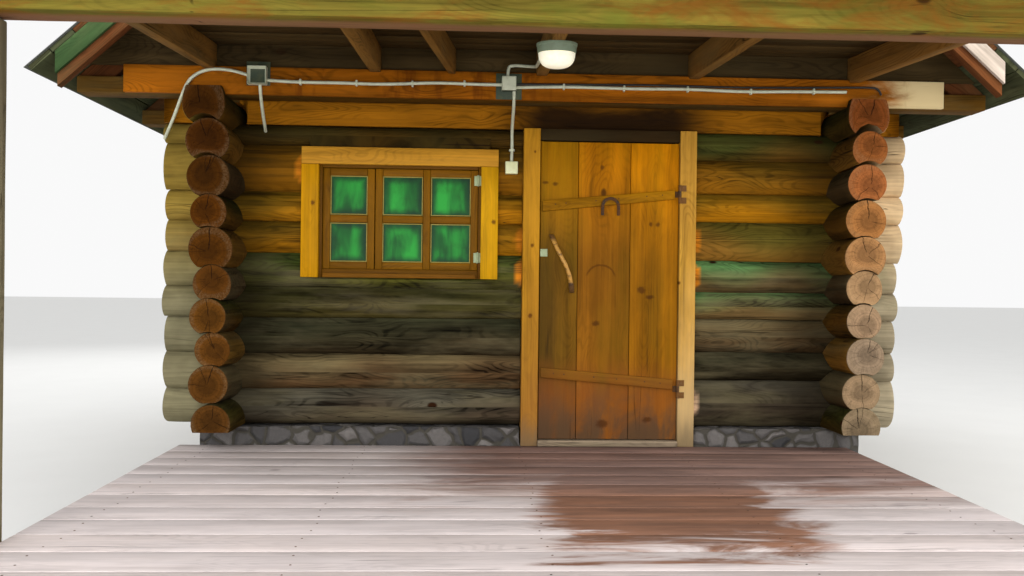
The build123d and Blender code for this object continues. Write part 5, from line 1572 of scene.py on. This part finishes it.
# %% Lamp
def spun(profile, origin, axis):
    """Solid of revolution from (radius, distance) pairs, from one end on the axis to the other."""
    bm = bmesh.new()
    verts = [bm.verts.new((r, 0, d)) for r, d in profile]
    edges = [bm.edges.new(pair) for pair in zip(verts, verts[1:])]
    bmesh.ops.spin(bm, geom=verts + edges, cent=(0, 0, 0), axis=Z, angle=math.tau, steps=48, use_merge=True)
    bmesh.ops.remove_doubles(bm, verts=bm.verts, dist=1e-6)
    bmesh.ops.recalc_face_normals(bm, faces=bm.faces)
    turned = Z.rotation_difference(axis).to_matrix().to_4x4()
    bmesh.ops.transform(bm, matrix=Matrix.Translation(origin) @ turned, verts=bm.verts)
    write_map(bm, axis, UNTINTED, 0.5)
    return bm


down = Vector((0, PORCH_FALL, -1)).normalized()
LAMP_OUT = 1.250          # in front of the wall's axis
lamp_top = Vector((0, FRONT_Y - LAMP_OUT, DECK_Z + JOIST_HEIGHT - PORCH_FALL * (LAMP_OUT - JOIST_START)))
base_profile = [(0, 0.0003), (0.092, 0.0003), (0.092, 0.010), (0.089, 0.014), (0.087, 0.034), (0.085, 0.042),
                (0, 0.042)]
keep_piece("lamp_base_shell", [spun(base_profile, lamp_top, down)], [lamp_green, lamp_green], "cabin",
           ["lamp_base"], "green_base", 30)
dome_profile = [(0, 0)] + [
    (0.083 * math.cos(i * math.pi / 24) ** 0.62, 0.065 * math.sin(i * math.pi / 24) ** 0.9) for i in range(13)]
keep_piece("lamp_dome_shell", [spun(dome_profile, lamp_top + down * 0.0421, down)], [milky, milky], "cabin",
           ["lamp_dome"], "milky_dome", 30)

# %% [markdown]
# ## Floor, backdrop and light
# The cabin stands on a plain pale floor. Large soft lamps in front stand for the open sky, and the world
# fills the shadows. Rays from the camera see the world as near white.

# %% Floor
floor_material, tree, shader, spot = new_material("pale floor")
floor_colour = mixed(tree, speckle(tree, spot, 2.0), paint(226, 226, 224), paint(232, 232, 230))
tree.links.new(floor_colour, shader.inputs["Base Color"])
shader.inputs["Roughness"].default_value = 0.9
floor = bpy.data.meshes.new("floor")
sheet = bmesh.new()
FLOOR_HALF = 60
bmesh.ops.create_grid(sheet, x_segments=1, y_segments=1, size=FLOOR_HALF)
sheet.to_mesh(floor)
sheet.free()
floor.materials.append(floor_material)
floor_piece = bpy.data.objects.new("floor", floor)
bpy.context.scene.collection.objects.link(floor_piece)
print("floor:", 2 * FLOOR_HALF, "m wide")

# %% World and lamps
world = bpy.data.worlds.new("world")
bpy.context.scene.world = world
world.use_nodes = True
tree = world.node_tree
sky = tree.nodes["Background"]
path = put(tree, "ShaderNodeLightPath").outputs
reflected = calc(tree, "MAXIMUM", path["Is Glossy Ray"], path["Is Transmission Ray"])
seen = calc(tree, "MAXIMUM", path["Is Camera Ray"], reflected)
sky.inputs["Color"].default_value = (1.0, 1.0, 1.0, 1.0)
tree.links.new(times_plus(tree, seen, 0.10, 0.85), sky.inputs["Strength"])


def soft_lamp(name, place, target, size, watts, colour=(1, 1, 1)):
    """Area lamp that looks at a point."""
    data = bpy.data.lights.new(name, "AREA")
    data.shape = "RECTANGLE"
    data.size, data.size_y = size
    data.energy = watts
    data.color = colour
    lamp = bpy.data.objects.new(name, data)
    bpy.context.scene.collection.objects.link(lamp)
    lamp.location = place
    lamp.rotation_euler = (Vector(target) - Vector(place)).to_track_quat("-Z", "Y").to_euler()
    return lamp


soft_lamp("sky in front", (-1.2, -9.5, 1.9), (0, -1.0, 1.7), (9, 3), 440)
soft_lamp("sky above", (-0.5, -8.0, 6.5), (0, -2.6, 0.3), (8, 4), 420)
soft_lamp("light from the right", (7.5, -4.5, 4.5), (0.5, -1.0, 1.2), (5, 4), 260, (1.0, 0.97, 0.92))
soft_lamp("light from behind", (-4, 9, 7), (0, 1, 1.5), (8, 6), 300)
bpy.context.scene.view_settings.view_transform = "Standard"
print("lamps:", len(bpy.data.lights))
